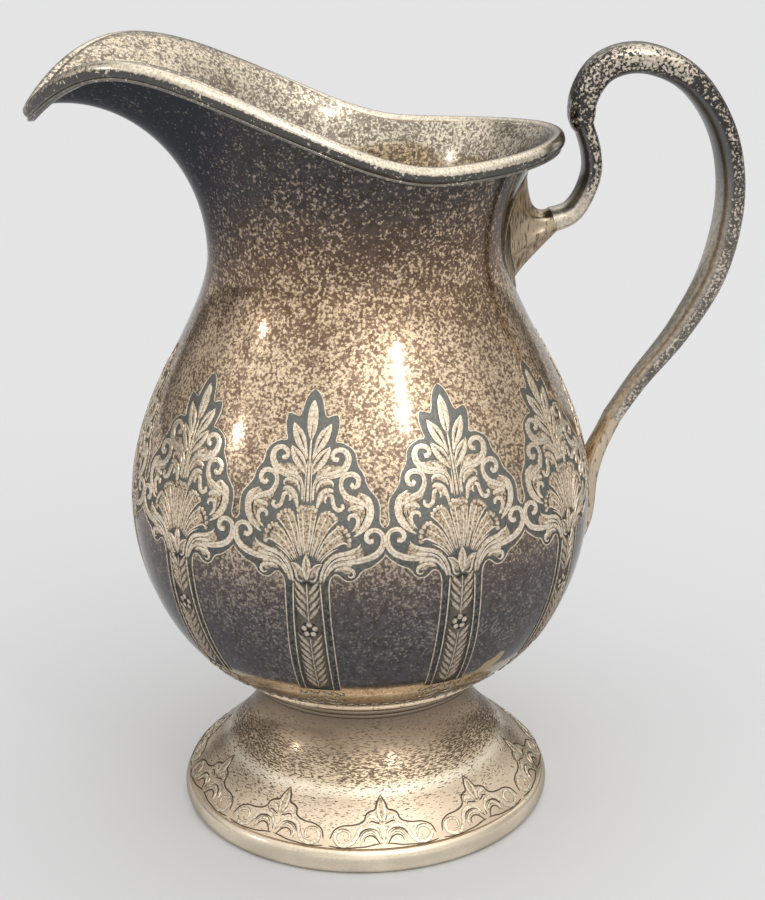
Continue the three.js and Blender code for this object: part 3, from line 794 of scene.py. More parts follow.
# %% Handle loop
BAR_SIDES = 28
LOOP_STEPS = 150
KNUCKLE, TOP, BULGE_Z, END_Z = Vector((40.5, 0, 128.608)), 140.2, 116.0, 73.5
BULGE_X = KNUCKLE.x + 27.85
back_bow = [on_bow(lip_bow(0.0), i / 60) for i in range(61)]
back_line = belly_line + [(p.x, p.z) for p in back_bow[1:]]


def radius_at(z):
    """Radius of the body's outside at a height, on the handle's side."""
    for (r0, z0), (r1, z1) in zip(back_line, back_line[1:]):
        if z0 <= z <= z1:
            return lerp(r0, r1, (z - z0) / (z1 - z0))
    return back_line[0][0] if z < back_line[0][1] else back_line[-1][0]


END_X = radius_at(END_Z) + 6.8
RISE = TOP - KNUCKLE.z
LOOP_KNOTS = [(KNUCKLE.x + x, KNUCKLE.z + z)
              for x, z in ((0.35, -1.7), (0, 0), (0.4, 0.45 * RISE), (3.7, 0.86 * RISE))]
LOOP_KNOTS += [(lerp(KNUCKLE.x, BULGE_X, a), lerp(TOP, BULGE_Z, b))
               for a, b in ((0.36, 0), (0.67, 0.14), (0.91, 0.51), (1, 1))]
LOOP_KNOTS += [(lerp(BULGE_X, END_X, a), lerp(BULGE_Z, END_Z, b))
               for a, b in ((0.115, 0.34), (0.41, 0.61), (0.77, 0.835), (1, 1))]
loop_line = smooth_line([(x, 0, z) for x, z in LOOP_KNOTS], LOOP_STEPS)
loop_ways = ways(loop_line)


def lay_loop(i, angle):
    """The thumb swells behind the knuckle, and the end grows thin."""
    u = i / LOOP_STEPS
    swell, settle, fade = smooth(u, 0, 0.2), smooth(u, 0.2, 0.4), smooth(u, 0.6, 1)
    thick = lerp(lerp(lerp(2.3, 2.7, swell), 2.3, settle), 1.5, fade)
    deep = lerp(lerp(3.5, 4.0, swell), 2.6, fade)
    near = min(1, i / 6)
    round_end = math.sqrt(max(0.04, near * (2 - near)))
    return section(loop_line[i], loop_ways[i], round_end * thick, round_end * deep, angle)


def rub_loop(i, angle):
    """The face inside the loop stays smooth, dark at the back and wiped pale at the end."""
    u, c = i / LOOP_STEPS, math.cos(angle)
    edge = lerp(0.35, 0.0, smooth(u, 0.2, 0.42))
    held = lerp(lerp(0.8, 1.1, smooth(u, 0.02, 0.15)), 0.78, smooth(u, 0.2, 0.45))
    held += 0.3 * smooth(u, 0.9, 1)
    bare = lerp(0.2, 1, smooth(c, 0.2, 0.8)) * smooth(u, 0.42, 0.66)
    # A pale line along the edge of the inner face: rubbed wear, painted as a highlight.
    rubbed_edge_highlight = 1.5 * math.exp(-((c - edge - 0.15) / 0.17) ** 2) * smooth(u, 0.42, 0.66)
    smoothed = smooth(c, edge, edge + 0.4) * smooth(u, 0.05, 0.14)
    return max(rubbed_edge_highlight, held * (1 - smoothed)), max(bare, 0.5 * smooth(u, 0.92, 1))


bm = bar(LOOP_STEPS, BAR_SIDES, lay_loop, rub_loop)
finish_piece(bm, "handle_loop", [HANDLE_CAST], "handle_plate", "handle_loop")

# %% [markdown]
# ## Branch and socket
# A thin, S-shaped branch leaves the knuckle and ends in a flared socket on the neck. The socket
# could be a cone that cuts into the neck, but then its edge would be one hard line. So its
# first rings lie on the neck's own curve, and the others close in on the branch.

# %% Handle branch
SOCKET_Z = 108.0
SOCKET_REACH = 7
SOCKET_WAY = Vector((1, 0, 0.5)).normalized()
MOUTH = Vector((radius_at(SOCKET_Z), 0, SOCKET_Z)) + SOCKET_REACH * SOCKET_WAY
BOW = 0.105 * (KNUCKLE.z - MOUTH.z)
BRANCH_STEPS = 70
SLEEVE = 8
branch_knots = [tuple(MOUTH), (lerp(MOUTH.x, KNUCKLE.x, 0.8), 0, lerp(MOUTH.z, KNUCKLE.z, 0.11))]
branch_knots += [(KNUCKLE.x + BOW, 0, lerp(MOUTH.z, KNUCKLE.z, b)) for b in (0.47, 0.72)]
branch_knots += [tuple(KNUCKLE + Vector((0.1, 0, 0.8)))]
branch_line = smooth_line(branch_knots, BRANCH_STEPS)
branch_ways = ways(branch_line)


def lay_branch(i, angle):
    """The branch is stout and round where it leaves the socket, and thinner inside it."""
    stout = 1 - smooth(i / BRANCH_STEPS, 0.05, 0.45)
    fit = 0.7 if i < SLEEVE - 1 else 1
    thick, deep = fit * lerp(1.7, 2.25, stout), fit * lerp(3.0, 3.25, stout)
    return section(branch_line[i], branch_ways[i], thick, deep, angle, lerp(3, 2.1, stout))


def rub_branch(i, angle):
    """The face toward the jug stays smooth, and the foot of the branch is wiped pale."""
    u = i / BRANCH_STEPS
    inside = smooth(-math.cos(angle), -0.1, 0.5)
    return lerp(2.2, 1, smooth(u, 0.15, 0.45)) * (1 - inside), 1 - smooth(u, 0.3, 0.55)


bm = bar(BRANCH_STEPS, BAR_SIDES, lay_branch, rub_branch)
finish_piece(bm, "handle_branch", [HANDLE_CAST], "handle_plate", "handle_branch")

# %% Handle socket
SOCKET_STEPS, SOCKET_SIDES = 32, 40
SOCKET_DRAW = 4.675
FLUTES = 7
# half width, half height and rise from the neck of the rings that round the socket's edge
SOCKET_EDGE = [(8.4, 12.4, -0.2), (8.15, 11.9, 0.3), (7.7, 11.1, 0.65), (7.2, 10.0, 1.0)]
LAST_EDGE = len(SOCKET_EDGE) - 1


def neck_point(turn, z):
    """Point on the neck's outside at a turn and a height."""
    if z <= NECK_HEIGHT:
        r = radius_at(z)
        return Vector((r * math.cos(turn), r * math.sin(turn), z))
    low, high = 0.0, 1.0
    for _ in range(24):
        middle = (low + high) / 2
        low, high = (middle, high) if on_bow(lip_bow(turn), middle).z < z else (low, middle)
    return on_bow(lip_bow(turn), low)


def lay_socket(i, angle):
    """A trumpet that spreads from the branch to a leaf-shaped print on the neck."""
    c, s = math.cos(angle), math.sin(angle)
    below = (1 + c) / 2
    wide, tall, share = SOCKET_EDGE[min(i, LAST_EDGE)]
    stand = share * (0.25 + lerp(0.8, 0.35, below) * c * c)
    z = SOCKET_Z + 2 - lerp(tall, tall - 1.6, below) * c
    turn = lerp(1.15, 1, below) * wide * math.copysign(abs(s) ** 0.85, s) / radius_at(z)
    plate = neck_point(round(turn, 7), z) + stand * Vector((math.cos(turn), math.sin(turn), 0))
    mouth = lay_branch(SLEEVE, angle)
    root = mouth - SOCKET_DRAW * SOCKET_WAY
    root.z -= 2 * below
    t = max(0, (i - LAST_EDGE) / (SOCKET_STEPS - LAST_EDGE))
    point = (1 - t) ** 2 * plate + 2 * t * (1 - t) * root + t * t * mouth
    flute = 1 - 0.08 * math.sin(math.pi * t) * (1 + math.cos(FLUTES * angle))
    core = SOCKET_WAY * (point - MOUTH).dot(SOCKET_WAY) + MOUTH
    return core + (point - core) * flute


bm = bar(SOCKET_STEPS, SOCKET_SIDES, lay_socket)
finish_piece(bm, "handle_socket", [SOCKET_PLATE], "handle_plate", "handle_socket")

# %% [markdown]
# ## Heel of the handle
# A tapering tail carries the loop's end down the belly. A shrinkwrap modifier could press it on,
# but it would flatten the tail's back. So its line follows the belly's, and only the points that
# would dip into the body are pushed out to its skin.

# %% Handle heel
HEEL_STEPS = 90
HEEL_END = 42.5


def beside(z, share):
    """Knot of the heel's line at a height, at a small distance from the belly."""
    return (radius_at(z) + 0.3 + share * 1.8, 0, z)


start = loop_line[-1] - 0.3 * loop_ways[-1]
heel_knots = [tuple(start)]
heel_knots += [beside(lerp(END_Z, HEEL_END, a), b)
               for a, b in ((0.3, 0.45), (0.65, 0.35), (1, 0.1))]
heel_line = smooth_line(heel_knots, HEEL_STEPS)
heel_ways = ways(heel_line)


def lay_heel(i, angle):
    """A tail that spreads on the belly and tapers to a tip."""
    u = i / HEEL_STEPS
    spread, taper = smooth(u, 0.1, 0.35), smooth(u, 0.25, 1)
    thick = lerp(lerp(1.5, 1.8, spread), 0.8, taper)
    wide = lerp(lerp(2.6, 3.2, spread), 0.9, taper)
    point = section(heel_line[i], heel_ways[i], thick, wide, angle)
    reach, least = math.hypot(point.x, point.y), radius_at(point.z) - 0.05
    if reach < least:
        point.x, point.y = point.x * least / reach, point.y * least / reach
    return point


bm = bar(HEEL_STEPS, BAR_SIDES, lay_heel)
finish_piece(bm, "handle_heel", [HEEL_PLATE], "bright_plate", "handle_heel")

# %% [markdown]
# ## Etched ornament: how a stroke is drawn
# Ten palmettes are etched round the belly. The ground was bitten down and stays dark, and the
# drawing stands a fifth of a millimetre proud and is rubbed bright. Each stroke is a small
# closed bar whose points have a place across, a place up and a half width. The drawing is
# made flat first, like paper, and is wrapped on the belly at the end. An attribute called
# relief is 0 at a stroke's foot and 1 on its crest, so that the finish can darken the foot.

# %% Strokes on a flat sheet
CREST = 0.18
SINK = -0.08
SIDES = 5
STROKE_STEP = 0.45
FULL = 1.42
THINNEST, THIN, FLANK = 0.02, 0.18, 0.13


def new_sheet():
    """A mesh for flat drawing, with its relief attribute."""
    sheet = bmesh.new()
    sheet.verts.layers.float.new("relief")
    return sheet


def stroke(sheet, points, crest=CREST, tone=1.0, side=1):
    """One raised stroke; tone 1 is rubbed bright and 0 stays dark; side -1 mirrors it."""
    length = sum((Vector(a) - Vector(b)).length for a, b in zip(points, points[1:]))
    steps = max(5, round(length / STROKE_STEP))
    line = smooth_line(points, steps)
    flat_ways = ways([Vector((p.x, p.y, 0)) for p in line])
    relief = sheet.verts.layers.float["relief"]
    known = len(sheet.verts)
    ring = bmesh.ops.create_circle(sheet, segments=SIDES, radius=1)["verts"]
    edges = list(dict.fromkeys(edge for vert in ring for edge in vert.link_edges))
    bmesh.ops.spin(sheet, geom=ring + edges, cent=(0, 0, 0), axis=(0, 0, 1), angle=0,
                   dvec=(0, 0, 1), steps=steps)
    sheet.verts.ensure_lookup_table()
    made = sheet.verts[known:]
    for vert in made:
        i, k = round(vert.co.z), round(math.atan2(vert.co.y, vert.co.x) / math.tau * SIDES) % SIDES
        half = max(THINNEST, FULL * line[i].z)
        end = min(i, steps - i) * length / steps
        taper = math.sqrt(max(0.0, 1 - max(0.0, 1 - (end + THINNEST) / half) ** 2))
        flank = max(0.6, 1 - FLANK / half)
        across, rise = ((-1, 0), (-flank, 0.8), (0, 1), (flank, 0.8), (1, 0))[k]
        across *= half * taper
        height = rise * taper * crest * min(1, half / THIN) + (0 if rise else SINK)
        x, y = line[i].x - across * flat_ways[i].y, line[i].y + across * flat_ways[i].x
        vert.co = (side * x, y, height)
        vert[relief] = tone * rise * taper
    touched = dict.fromkeys(edge for vert in made for edge in vert.link_edges)
    bmesh.ops.holes_fill(sheet, edges=[edge for edge in touched if edge.is_boundary])


def both(sheet, points, crest=CREST, tone=1.0):
    """A stroke and its mirror image."""
    stroke(sheet, points, crest, tone)
    stroke(sheet, points, crest, tone, -1)


def wider(points, times):
    """The same points with other half widths."""
    return [(x, y, times * half) for x, y, half in points]


def boss(sheet, x, y, half, crest, tone=1.0):
    """A small round bead."""
    relief = sheet.verts.layers.float["relief"]
    shape = Matrix.Translation((x, y, 0)) @ Matrix.Diagonal((half, half, crest, 1))
    ball = bmesh.ops.create_uvsphere(sheet, u_segments=10, v_segments=6, radius=1, matrix=shape)
    for vert in ball["verts"]:
        vert[relief] = tone * max(0, vert.co.z / crest)


print("strokes stand", CREST, "mm proud")

# %% [markdown]
# ## The palmette
# From the top: a pointed leaf with two pairs of side leaves, three pairs of scrolls, a fan of
# five trumpet flowers, a leafy pair of scrolls that meets the neighbours, and a calyx. Below it
# a straight stem carries pairs of small leaves and a rosette. Only the right half is drawn, in
# millimetres from the middle line and from the belly's widest girth.

# %% Leaves and scrolls of the palmette
LEAVES = [
    [(0.1, 23, 0.1), (0.45, 24.4, 0.31), (0.56, 26.1, 0.42), (0.48, 27.8, 0.4), (0.25, 29, 0.28),
     (0, 29.8, 0.06)],
    [(0.5, 19.5, 0.1), (1.24, 21, 0.25), (2.24, 22.2, 0.4), (3.05, 23.5, 0.4), (3.6, 24.9, 0.28),
     (3.8, 25.8, 0.06)],
    [(0.4, 19.8, 0.08), (0.9, 21.4, 0.2), (1.3, 23, 0.28), (2.1, 24.3, 0.3), (3, 25.1, 0.2),
     (3.8, 25.8, 0.06)],
    [(0.45, 17.1, 0.1), (1.4, 18.1, 0.26), (2.4, 19.2, 0.36), (3.2, 20.4, 0.35), (3.6, 21.4, 0.2),
     (3.7, 21.9, 0.06)],
    [(0.4, 18.1, 0.08), (1, 19.4, 0.2), (1.8, 20.5, 0.28), (2.8, 21.3, 0.2), (3.7, 21.9, 0.06)],
]
SCROLLS = [
    [(1, 12.8, 0.21), (0.97, 14.8, 0.23), (1.37, 16.15, 0.26), (2.17, 16.9, 0.36),
     (3.25, 17.1, 0.43), (4.5, 17.3, 0.47), (5.8, 17.8, 0.49), (6.8, 18.8, 0.48),
     (7.2, 20.1, 0.45), (6.75, 21.1, 0.4), (5.8, 21.5, 0.35), (4.75, 21.25, 0.35),
     (4.2, 20.55, 0.35), (4.5, 19.9, 0.34), (5.15, 19.85, 0.36), (5.4, 20.15, 0.36)],
    [(2, 17, 0.3), (3.05, 17.95, 0.33), (4.05, 18.7, 0.08)],
    [(1.45, 14.2, 0.17), (1.95, 15.7, 0.23), (2.9, 16.3, 0.26), (4, 16.25, 0.24),
     (4.55, 15.6, 0.17), (4.1, 15.2, 0.08)],
    [(1.7, 11.5, 0.2), (2, 13, 0.31), (2.45, 14.1, 0.35), (3.3, 14.75, 0.33), (4.2, 14.75, 0.28),
     (4.65, 14.35, 0.12)],
    [(3.5, 14.1, 0.26), (4.3, 13.75, 0.3), (4.5, 12.8, 0.3), (4.85, 11.9, 0.32), (5.6, 11.5, 0.31),
     (6.25, 11.9, 0.29), (6.1, 12.45, 0.3), (5.75, 12.45, 0.3)],
    [(3.4, 13.75, 0.2), (3.05, 13.05, 0.21), (3.4, 12.6, 0.12)],
    [(7.9, 7, 0.1), (9, 7.75, 0.26), (10.2, 9, 0.43), (10.85, 10.45, 0.48), (10.95, 11.95, 0.48),
     (10.6, 13.2, 0.42), (9.8, 13.95, 0.25), (8.95, 14.45, 0.07)],
    [(10.45, 11.6, 0.23), (9.45, 12.7, 0.33), (8.25, 13.25, 0.4), (7, 13.7, 0.41),
     (6.15, 14.7, 0.38), (5.85, 15.95, 0.33), (6.25, 17, 0.35), (7.25, 17.45, 0.36),
     (8.35, 17.35, 0.37), (9, 16.6, 0.37), (8.8, 15.6, 0.36), (8, 15.3, 0.3), (7.75, 15.75, 0.34),
     (7.9, 16.1, 0.34)],
    [(10, 11.45, 0.17), (9.05, 12.05, 0.26), (7.85, 11.9, 0.32), (7.25, 11.6, 0.25),
     (7.5, 11.15, 0.12)],
    [(7.7, 7.9, 0.12), (8.5, 8.65, 0.25), (8.85, 9.75, 0.3), (8.45, 10.6, 0.3), (7.6, 10.65, 0.28),
     (7.15, 10.1, 0.24), (7.5, 9.65, 0.12)],
    [(2.3, -1.2, 0.17), (2.6, 0.65, 0.21), (3.4, 2.25, 0.26), (4.4, 3.45, 0.28), (5.75, 4.05, 0.3),
     (6.9, 4.35, 0.28), (8.1, 4.85, 0.25), (8.95, 5.45, 0.14), (9.2, 5.9, 0.05)],
    [(2.85, -1, 0.13), (3.4, 1.05, 0.2), (4.4, 2.5, 0.23), (5.75, 3.3, 0.26), (7.4, 3.55, 0.26),
     (8.6, 3.75, 0.18)],
    [(3.4, 0.15, 0.13), (4.2, 1.5, 0.2), (5.4, 2.35, 0.25), (6.7, 2.45, 0.26), (7.9, 2.1, 0.18)],
    [(6.25, 2.85, 0.17), (7.75, 2.8, 0.33), (9.25, 3.05, 0.4), (10.75, 3.5, 0.41),
     (12.05, 4.25, 0.42), (12.8, 5.3, 0.4), (13, 6.5, 0.36), (12.75, 7.5, 0.33),
     (11.95, 8.1, 0.33), (10.9, 8.05, 0.34), (10.2, 7.35, 0.35), (10.25, 6.45, 0.34),
     (10.85, 6.2, 0.36), (11.25, 6.45, 0.38), (11.3, 6.7, 0.36)],
    [(4.7, 1.1, 0.13), (5.7, 1.7, 0.21), (6.9, 1.65, 0.26), (7.9, 1.2, 0.27), (8.05, 0.4, 0.22),
     (7.4, 0.05, 0.15), (6.9, 0.5, 0.07)],
]
BODIES = [
    [(0.5, 19.7, 0.15), (1.1, 21.2, 0.42), (1.8, 22.6, 0.62), (2.6, 23.9, 0.62), (3.3, 24.9, 0.36),
     (3.8, 25.8, 0.06)],
    [(0.45, 17.6, 0.15), (1.2, 18.8, 0.42), (2.1, 19.9, 0.56), (2.9, 20.8, 0.46),
     (3.7, 21.9, 0.06)],
    [(1.4, 16.2, 0.4), (2.6, 17.2, 0.8), (3.8, 17.9, 0.75), (5.2, 18.1, 0.5), (6.2, 18.7, 0.3)],
    [(1.5, 14.6, 0.2), (2.2, 15.7, 0.4), (3.2, 16.2, 0.42), (4.2, 15.9, 0.25)],
    [(8.4, 7.7, 0.2), (9.4, 9.1, 0.6), (9.75, 10.6, 1), (9.5, 12, 1.2), (9.1, 13.2, 0.9),
     (8.9, 14.2, 0.2)],
    [(9.3, 12.2, 0.3), (8.3, 12.9, 0.55), (7.2, 13.3, 0.55), (6.4, 14.2, 0.4)],
    [(1.8, 12, 0.2), (2.4, 13.6, 0.45), (3.3, 14.2, 0.5), (4.2, 14.2, 0.35)],
    [(2.6, -0.9, 0.3), (3.2, 1, 0.5), (4.4, 2.6, 0.75), (5.9, 3.2, 0.85), (7.6, 3.5, 0.7),
     (8.9, 4.2, 0.6), (9.2, 5.4, 0.12)],
    [(4.9, 1.1, 0.2), (6, 1.7, 0.45), (7, 1.4, 0.6), (7.6, 0.7, 0.5)],
]
VEINS = [
    [(0.6, 20.3, 0.04), (1.3, 21.9, 0.08), (2, 23.1, 0.09), (2.75, 24.2, 0.04)],
    [(0.6, 18, 0.04), (1.4, 19.2, 0.08), (2.2, 20.1, 0.08), (2.9, 20.9, 0.04)],
    [(8.7, 8.2, 0.04), (9.6, 9.6, 0.09), (10.1, 11, 0.1), (9.9, 12.2, 0.09), (9.2, 13.4, 0.04)],
    [(8.9, 9.6, 0.04), (9.4, 10.8, 0.08), (9.2, 11.5, 0.04)],
    [(1.7, 15.4, 0.04), (2.6, 16.6, 0.08), (4, 16.75, 0.07), (5, 16.9, 0.04)],
    [(3.1, 0.3, 0.04), (3.9, 1.8, 0.08), (5.2, 2.85, 0.09), (7, 3.2, 0.06)],
    [(2.75, 0.2, 0.04), (3.6, 2, 0.08), (4.9, 3.25, 0.09), (6.8, 3.9, 0.06)],
]
print(len(LEAVES), "leaf edges,", len(SCROLLS), "scrolls and", len(BODIES), "bodies on each side")

# %% Flowers, calyx and stem of the palmette
FLOWER_RIBS = [
    [(0.35, 3.7, 0.12), (0.92, 6.45, 0.2), (1.35, 9, 0.21), (1.7, 10.85, 0.17)],
    [(0.1, 3.7, 0.08), (0.42, 6.45, 0.18), (0.65, 9.15, 0.21), (0.78, 11, 0.18)],
    [(0.75, 3.55, 0.1), (1.25, 6.5, 0.17), (1.85, 9.05, 0.2), (2.4, 10.65, 0.2)],
    [(1.1, 3.55, 0.1), (1.9, 6.5, 0.2), (2.7, 8.75, 0.23), (3.55, 10.5, 0.23)],
    [(1.45, 3.4, 0.1), (2.65, 6.4, 0.2), (3.75, 8.2, 0.21), (4.95, 9.5, 0.2), (5.5, 9.85, 0.1)],
    [(1.6, 3.05, 0.1), (2.45, 5.1, 0.18), (3.55, 6.9, 0.21), (4.75, 8.15, 0.21),
     (5.45, 8.65, 0.17)],
    [(1.85, 2.9, 0.1), (3.1, 5.05, 0.2), (4.4, 6.45, 0.24), (6.1, 7.55, 0.24)],
    [(2.1, 2.75, 0.1), (3.55, 4.35, 0.2), (5.1, 5.45, 0.23), (6.45, 6.05, 0.23),
     (7.35, 5.65, 0.18)],
    [(2.45, 2.5, 0.1), (3.2, 3.55, 0.2), (4.25, 4.45, 0.21), (5.4, 5.05, 0.07)],
]
FLOWER_BELLS = [
    [(1, 3.55, 0.13), (1.85, 6.5, 0.43), (2.8, 8.75, 0.72), (3.7, 10.7, 0.98)],
    [(1.85, 2.9, 0.13), (3.1, 5.05, 0.46), (4.6, 6.6, 0.8), (6.25, 7.6, 1.05)],
]
MIDDLE_BELL = [(0, 3.7, 0.22), (0, 6.5, 0.8), (0, 9, 1.08), (0, 11.6, 1.32)]
PETALS = [(0.33, 11.9), (1, 11.95), (1.55, 11.5), (2.6, 10.8), (3.2, 11.2), (3.9, 11.15),
          (4.55, 10.8), (5.05, 10.25), (5.5, 8.7), (6.15, 8.7), (6.75, 8.2), (7.25, 7.45),
          (7.45, 6.6), (7.45, 5.75)]
PETAL_ROOTS = [(0, 4)] * 3 + [(1, 3.5)] * 5 + [(1.8, 2.9)] * 6
PETAL_STEPS = [(-0.7, 0.2), (-0.1, 0.38), (0.25, 0.38)]
CALYX = [
    [(0, -0.8, 0.12), (0.42, 0.7, 0.26), (0.46, 2.1, 0.27), (0.25, 3.2, 0.2), (0, 3.85, 0.06)],
    [(0.57, 0.9, 0.13), (1.25, 1.7, 0.2), (2, 2.2, 0.18), (2.7, 2.3, 0.06)],
    [(0.55, -0.55, 0.1), (1.05, -0.9, 0.17), (1.6, -0.4, 0.2), (1.85, 0.8, 0.2), (2.3, 1.8, 0.15),
     (2.7, 2.3, 0.06)],
]
CALYX_BUD = [(0, -0.6, 0.15), (0, 0.7, 0.55), (0, 2.1, 0.55), (0, 3.6, 0.1)]
CALYX_LEAF = [(0.6, -0.4, 0.2), (1.1, 0.4, 0.36), (1.7, 1.3, 0.34), (2.4, 2, 0.12)]
BODY_CREST, BODY_TONE = 0.62 * CREST, 0.62
RIBBON = [(0, -1, 1.3), (0, -6.8, 1.5), (0, -14.4, 1.7), (0, -21.4, 1.85), (0, -26.2, 1.85)]
STEM_EDGE = [(2.3, -1.2, 0.15), (2.55, -6.8, 0.15), (2.8, -14.4, 0.14), (3, -21.4, 0.13),
             (3, -26.2, 0.13)]
STEM_LINES = [
    [(0, -1.2, 0.1), (0, -5, 0.11), (0, -8.7, 0.1)],
    [(0, -12.2, 0.1), (0, -18, 0.11), (0, -25.5, 0.1)],
]
STEM_LEAF = [(0.15, 0, 0.12), (0.7, 0.8, 0.31), (1.4, 1.7, 0.32), (2.15, 2.9, 0.05)]
STEM_LEAF_FEET = [-3.5 - 1.55 * k for k in range(4)] + [-14.1 - 1.55 * k for k in range(8)]
ROSETTE = -10.4
SPRAY = [
    [(0.3, -27, 0.1), (1, -28, 0.2), (2, -28.2, 0.22), (2.6, -27.5, 0.2), (2.1, -27, 0.12)],
    [(0.2, -29, 0.1), (0.9, -30.3, 0.2), (2.1, -30.8, 0.22), (3.2, -30.3, 0.22),
     (3.4, -29.3, 0.18), (2.7, -29.1, 0.12)],
    [(0.3, -31.6, 0.1), (1.4, -32.8, 0.2), (2.9, -33, 0.22), (4.1, -32.2, 0.2), (4.4, -31.1, 0.15),
     (3.8, -30.9, 0.1)],
    [(3.2, -27.6, 0.1), (4.2, -28.6, 0.18), (5, -28, 0.15), (4.6, -27.3, 0.1)],
]
SMALL_SCROLL = [(-1.3, -33.8, 0.1), (-0.6, -32.9, 0.2), (0.4, -33.1, 0.22), (1.0, -34.1, 0.2),
                (1.7, -34.2, 0.16), (1.8, -33.4, 0.1)]
SMALL_SCROLLS = [6.2, 9.1, 12.0]
GROOVE = 0.075


def draw_leaves(sheet):
    """Leaves and scrolls, with their broad bodies and dark veins."""
    for points in LEAVES + SCROLLS:
        both(sheet, wider(points, 1.1))
    for points in BODIES:
        both(sheet, wider(points, 1.15), BODY_CREST, BODY_TONE)
    for points in VEINS:
        both(sheet, points, 1.5 * CREST, 0)
    for points in SCROLLS:
        if len(points) > 7:  # long scrolls have a dark groove along their back
            both(sheet, [(x, y, GROOVE) for x, y, _ in points[1:-5]], 1.8 * CREST, 0)
    stroke(sheet, [(0, 12.6, 0.26), (0, 17, 0.24), (0, 20, 0.22), (0, 23.2, 0.18)])
    both(sheet, [(0.6, 12.5, 0.11), (0.55, 15, 0.12), (0.48, 17.5, 0.1), (0.38, 19.5, 0.06)])


def draw_flowers(sheet):
    """Five trumpet flowers with scalloped petals, and the calyx that holds them."""
    for points in FLOWER_RIBS:
        both(sheet, wider(points, 0.72))
    for points in CALYX:
        both(sheet, points)
    for points in FLOWER_BELLS:
        both(sheet, wider(points, 1.18), BODY_CREST, BODY_TONE)
    for points in MIDDLE_BELL, CALYX_BUD:
        stroke(sheet, points, BODY_CREST, BODY_TONE)
    both(sheet, CALYX_LEAF, BODY_CREST, BODY_TONE)
    for (x, y), root in zip(PETALS, PETAL_ROOTS):
        tip = Vector((x, y))
        way = (tip - Vector(root)).normalized()
        petal = [(*(tip + out * way), half) for out, half in PETAL_STEPS]
        both(sheet, petal, 0.9 * CREST, 0.8)


def draw_stem(sheet):
    """Plaited leaves between straight edges, on a dark ribbon, a spray below, and the rosette."""
    stroke(sheet, RIBBON, 0.3 * CREST, 0.22)
    both(sheet, STEM_EDGE)
    for foot in STEM_LEAF_FEET:
        both(sheet, [(x, foot + y, half) for x, y, half in STEM_LEAF], CREST, 0.75)
    for points in STEM_LINES:
        stroke(sheet, points)
    for points in SPRAY:
        both(sheet, points, 0.8 * CREST)
    for across in SMALL_SCROLLS:
        both(sheet, [(across + x, y, half) for x, y, half in SMALL_SCROLL], 0.8 * CREST)
    boss(sheet, 0, ROSETTE, 1.8, 0.7 * CREST, 0)
    boss(sheet, 0, ROSETTE, 0.42, 1.3 * CREST, 0)
    for k in range(5):
        a = math.tau * k / 5 + math.pi / 2
        boss(sheet, math.cos(a), ROSETTE + math.sin(a), 0.64, 1.2 * CREST)


print(len(FLOWER_RIBS), "ribs and", len(PETALS), "petals on each side")

# %% [markdown]
# ## Dark ground and its light edge
# Round each palmette runs a dark band, closed by a thin bright line. The band is part of the
# bitten ground, so the whole ground is one dark patch: its outline is filled with triangles,
# long edges are cut until the patch can bend, and the line is a stroke along the outline.

# %% Outline and ground
OUTLINE_TOP = [(0, 31.7), (0.9, 31.1), (1.6, 30.2), (2.1, 28.9), (2.4, 27.7), (2.85, 26.9),
               (3.8, 27.15), (5.1, 27.3), (5.45, 26.2), (5.4, 25.1), (5.1, 23.9), (4.8, 22.8),
               (6, 22.7), (7.1, 22.2), (8.05, 21.6), (8.65, 20.6), (8.8, 19.6), (9, 18.8),
               (9.5, 18.1), (10.1, 17.2), (10.35, 16.1), (10.8, 15.2), (11.6, 14.2), (12.3, 13.3),
               (12.65, 12), (12.6, 10.5), (12.55, 9.5), (12.9, 8.8), (13.42, 8.4)]
OUTLINE_LOW = [(13.42, 4.1), (12.85, 3.3), (11.9, 2.5), (10.7, 1.7), (9.65, 1.3), (9.1, 0.8),
               (8.6, 0), (7.7, -0.6), (6.7, -0.6), (6, -0.1), (5.45, 0.4), (4.8, 0.5), (4.25, 0),
               (3.95, -0.7), (3.8, -1.7), (3.8, -4.1), (3.9, -8.5), (4.15, -14.4), (4.35, -21.3),
               (4.4, -26.2)]
OUTLINE_HALF = 0.135
LONGEST = 1.9
PLATE = 0.12


def draw_outline(sheet):
    """The thin bright line round the ground."""
    for outline in (OUTLINE_TOP, OUTLINE_LOW):
        both(sheet, [(x, y, OUTLINE_HALF) for x, y in outline], 0.6 * CREST, 0.85)


def ground_sheet():
    """The dark patch of one palmette and stem, as a thin closed plate."""
    sheet = bmesh.new()
    half = [p for line in (OUTLINE_TOP, OUTLINE_LOW)
            for p in smooth_line([(x, y, 0) for x, y in line], 4 * len(line))]
    rim = [p.xy for p in half] + [Vector((-p.x, p.y)) for p in reversed(half[1:])]
    chain(sheet, [(p.x, p.y, 0) for p in rim], True)
    bmesh.ops.triangle_fill(sheet, use_beauty=True, edges=sheet.edges[:])
    for _ in range(6):
        long = [e for e in sheet.edges if e.calc_length() > LONGEST]
        if not long:
            break
        bmesh.ops.subdivide_edges(sheet, edges=long, cuts=1)
        bmesh.ops.triangulate(sheet, faces=[f for f in sheet.faces if len(f.verts) > 3])
        inner = [e for e in sheet.edges if not e.is_boundary]
        bmesh.ops.beautify_fill(sheet, faces=sheet.faces[:], edges=inner)
    grown = bmesh.ops.extrude_face_region(sheet, geom=sheet.faces[:], use_keep_orig=True)["geom"]
    lower = [v for v in grown if isinstance(v, bmesh.types.BMVert)]
    bmesh.ops.translate(sheet, verts=lower, vec=(0, 0, -PLATE))
    return sheet


print("outline points", len(OUTLINE_TOP) + len(OUTLINE_LOW), "on each side")

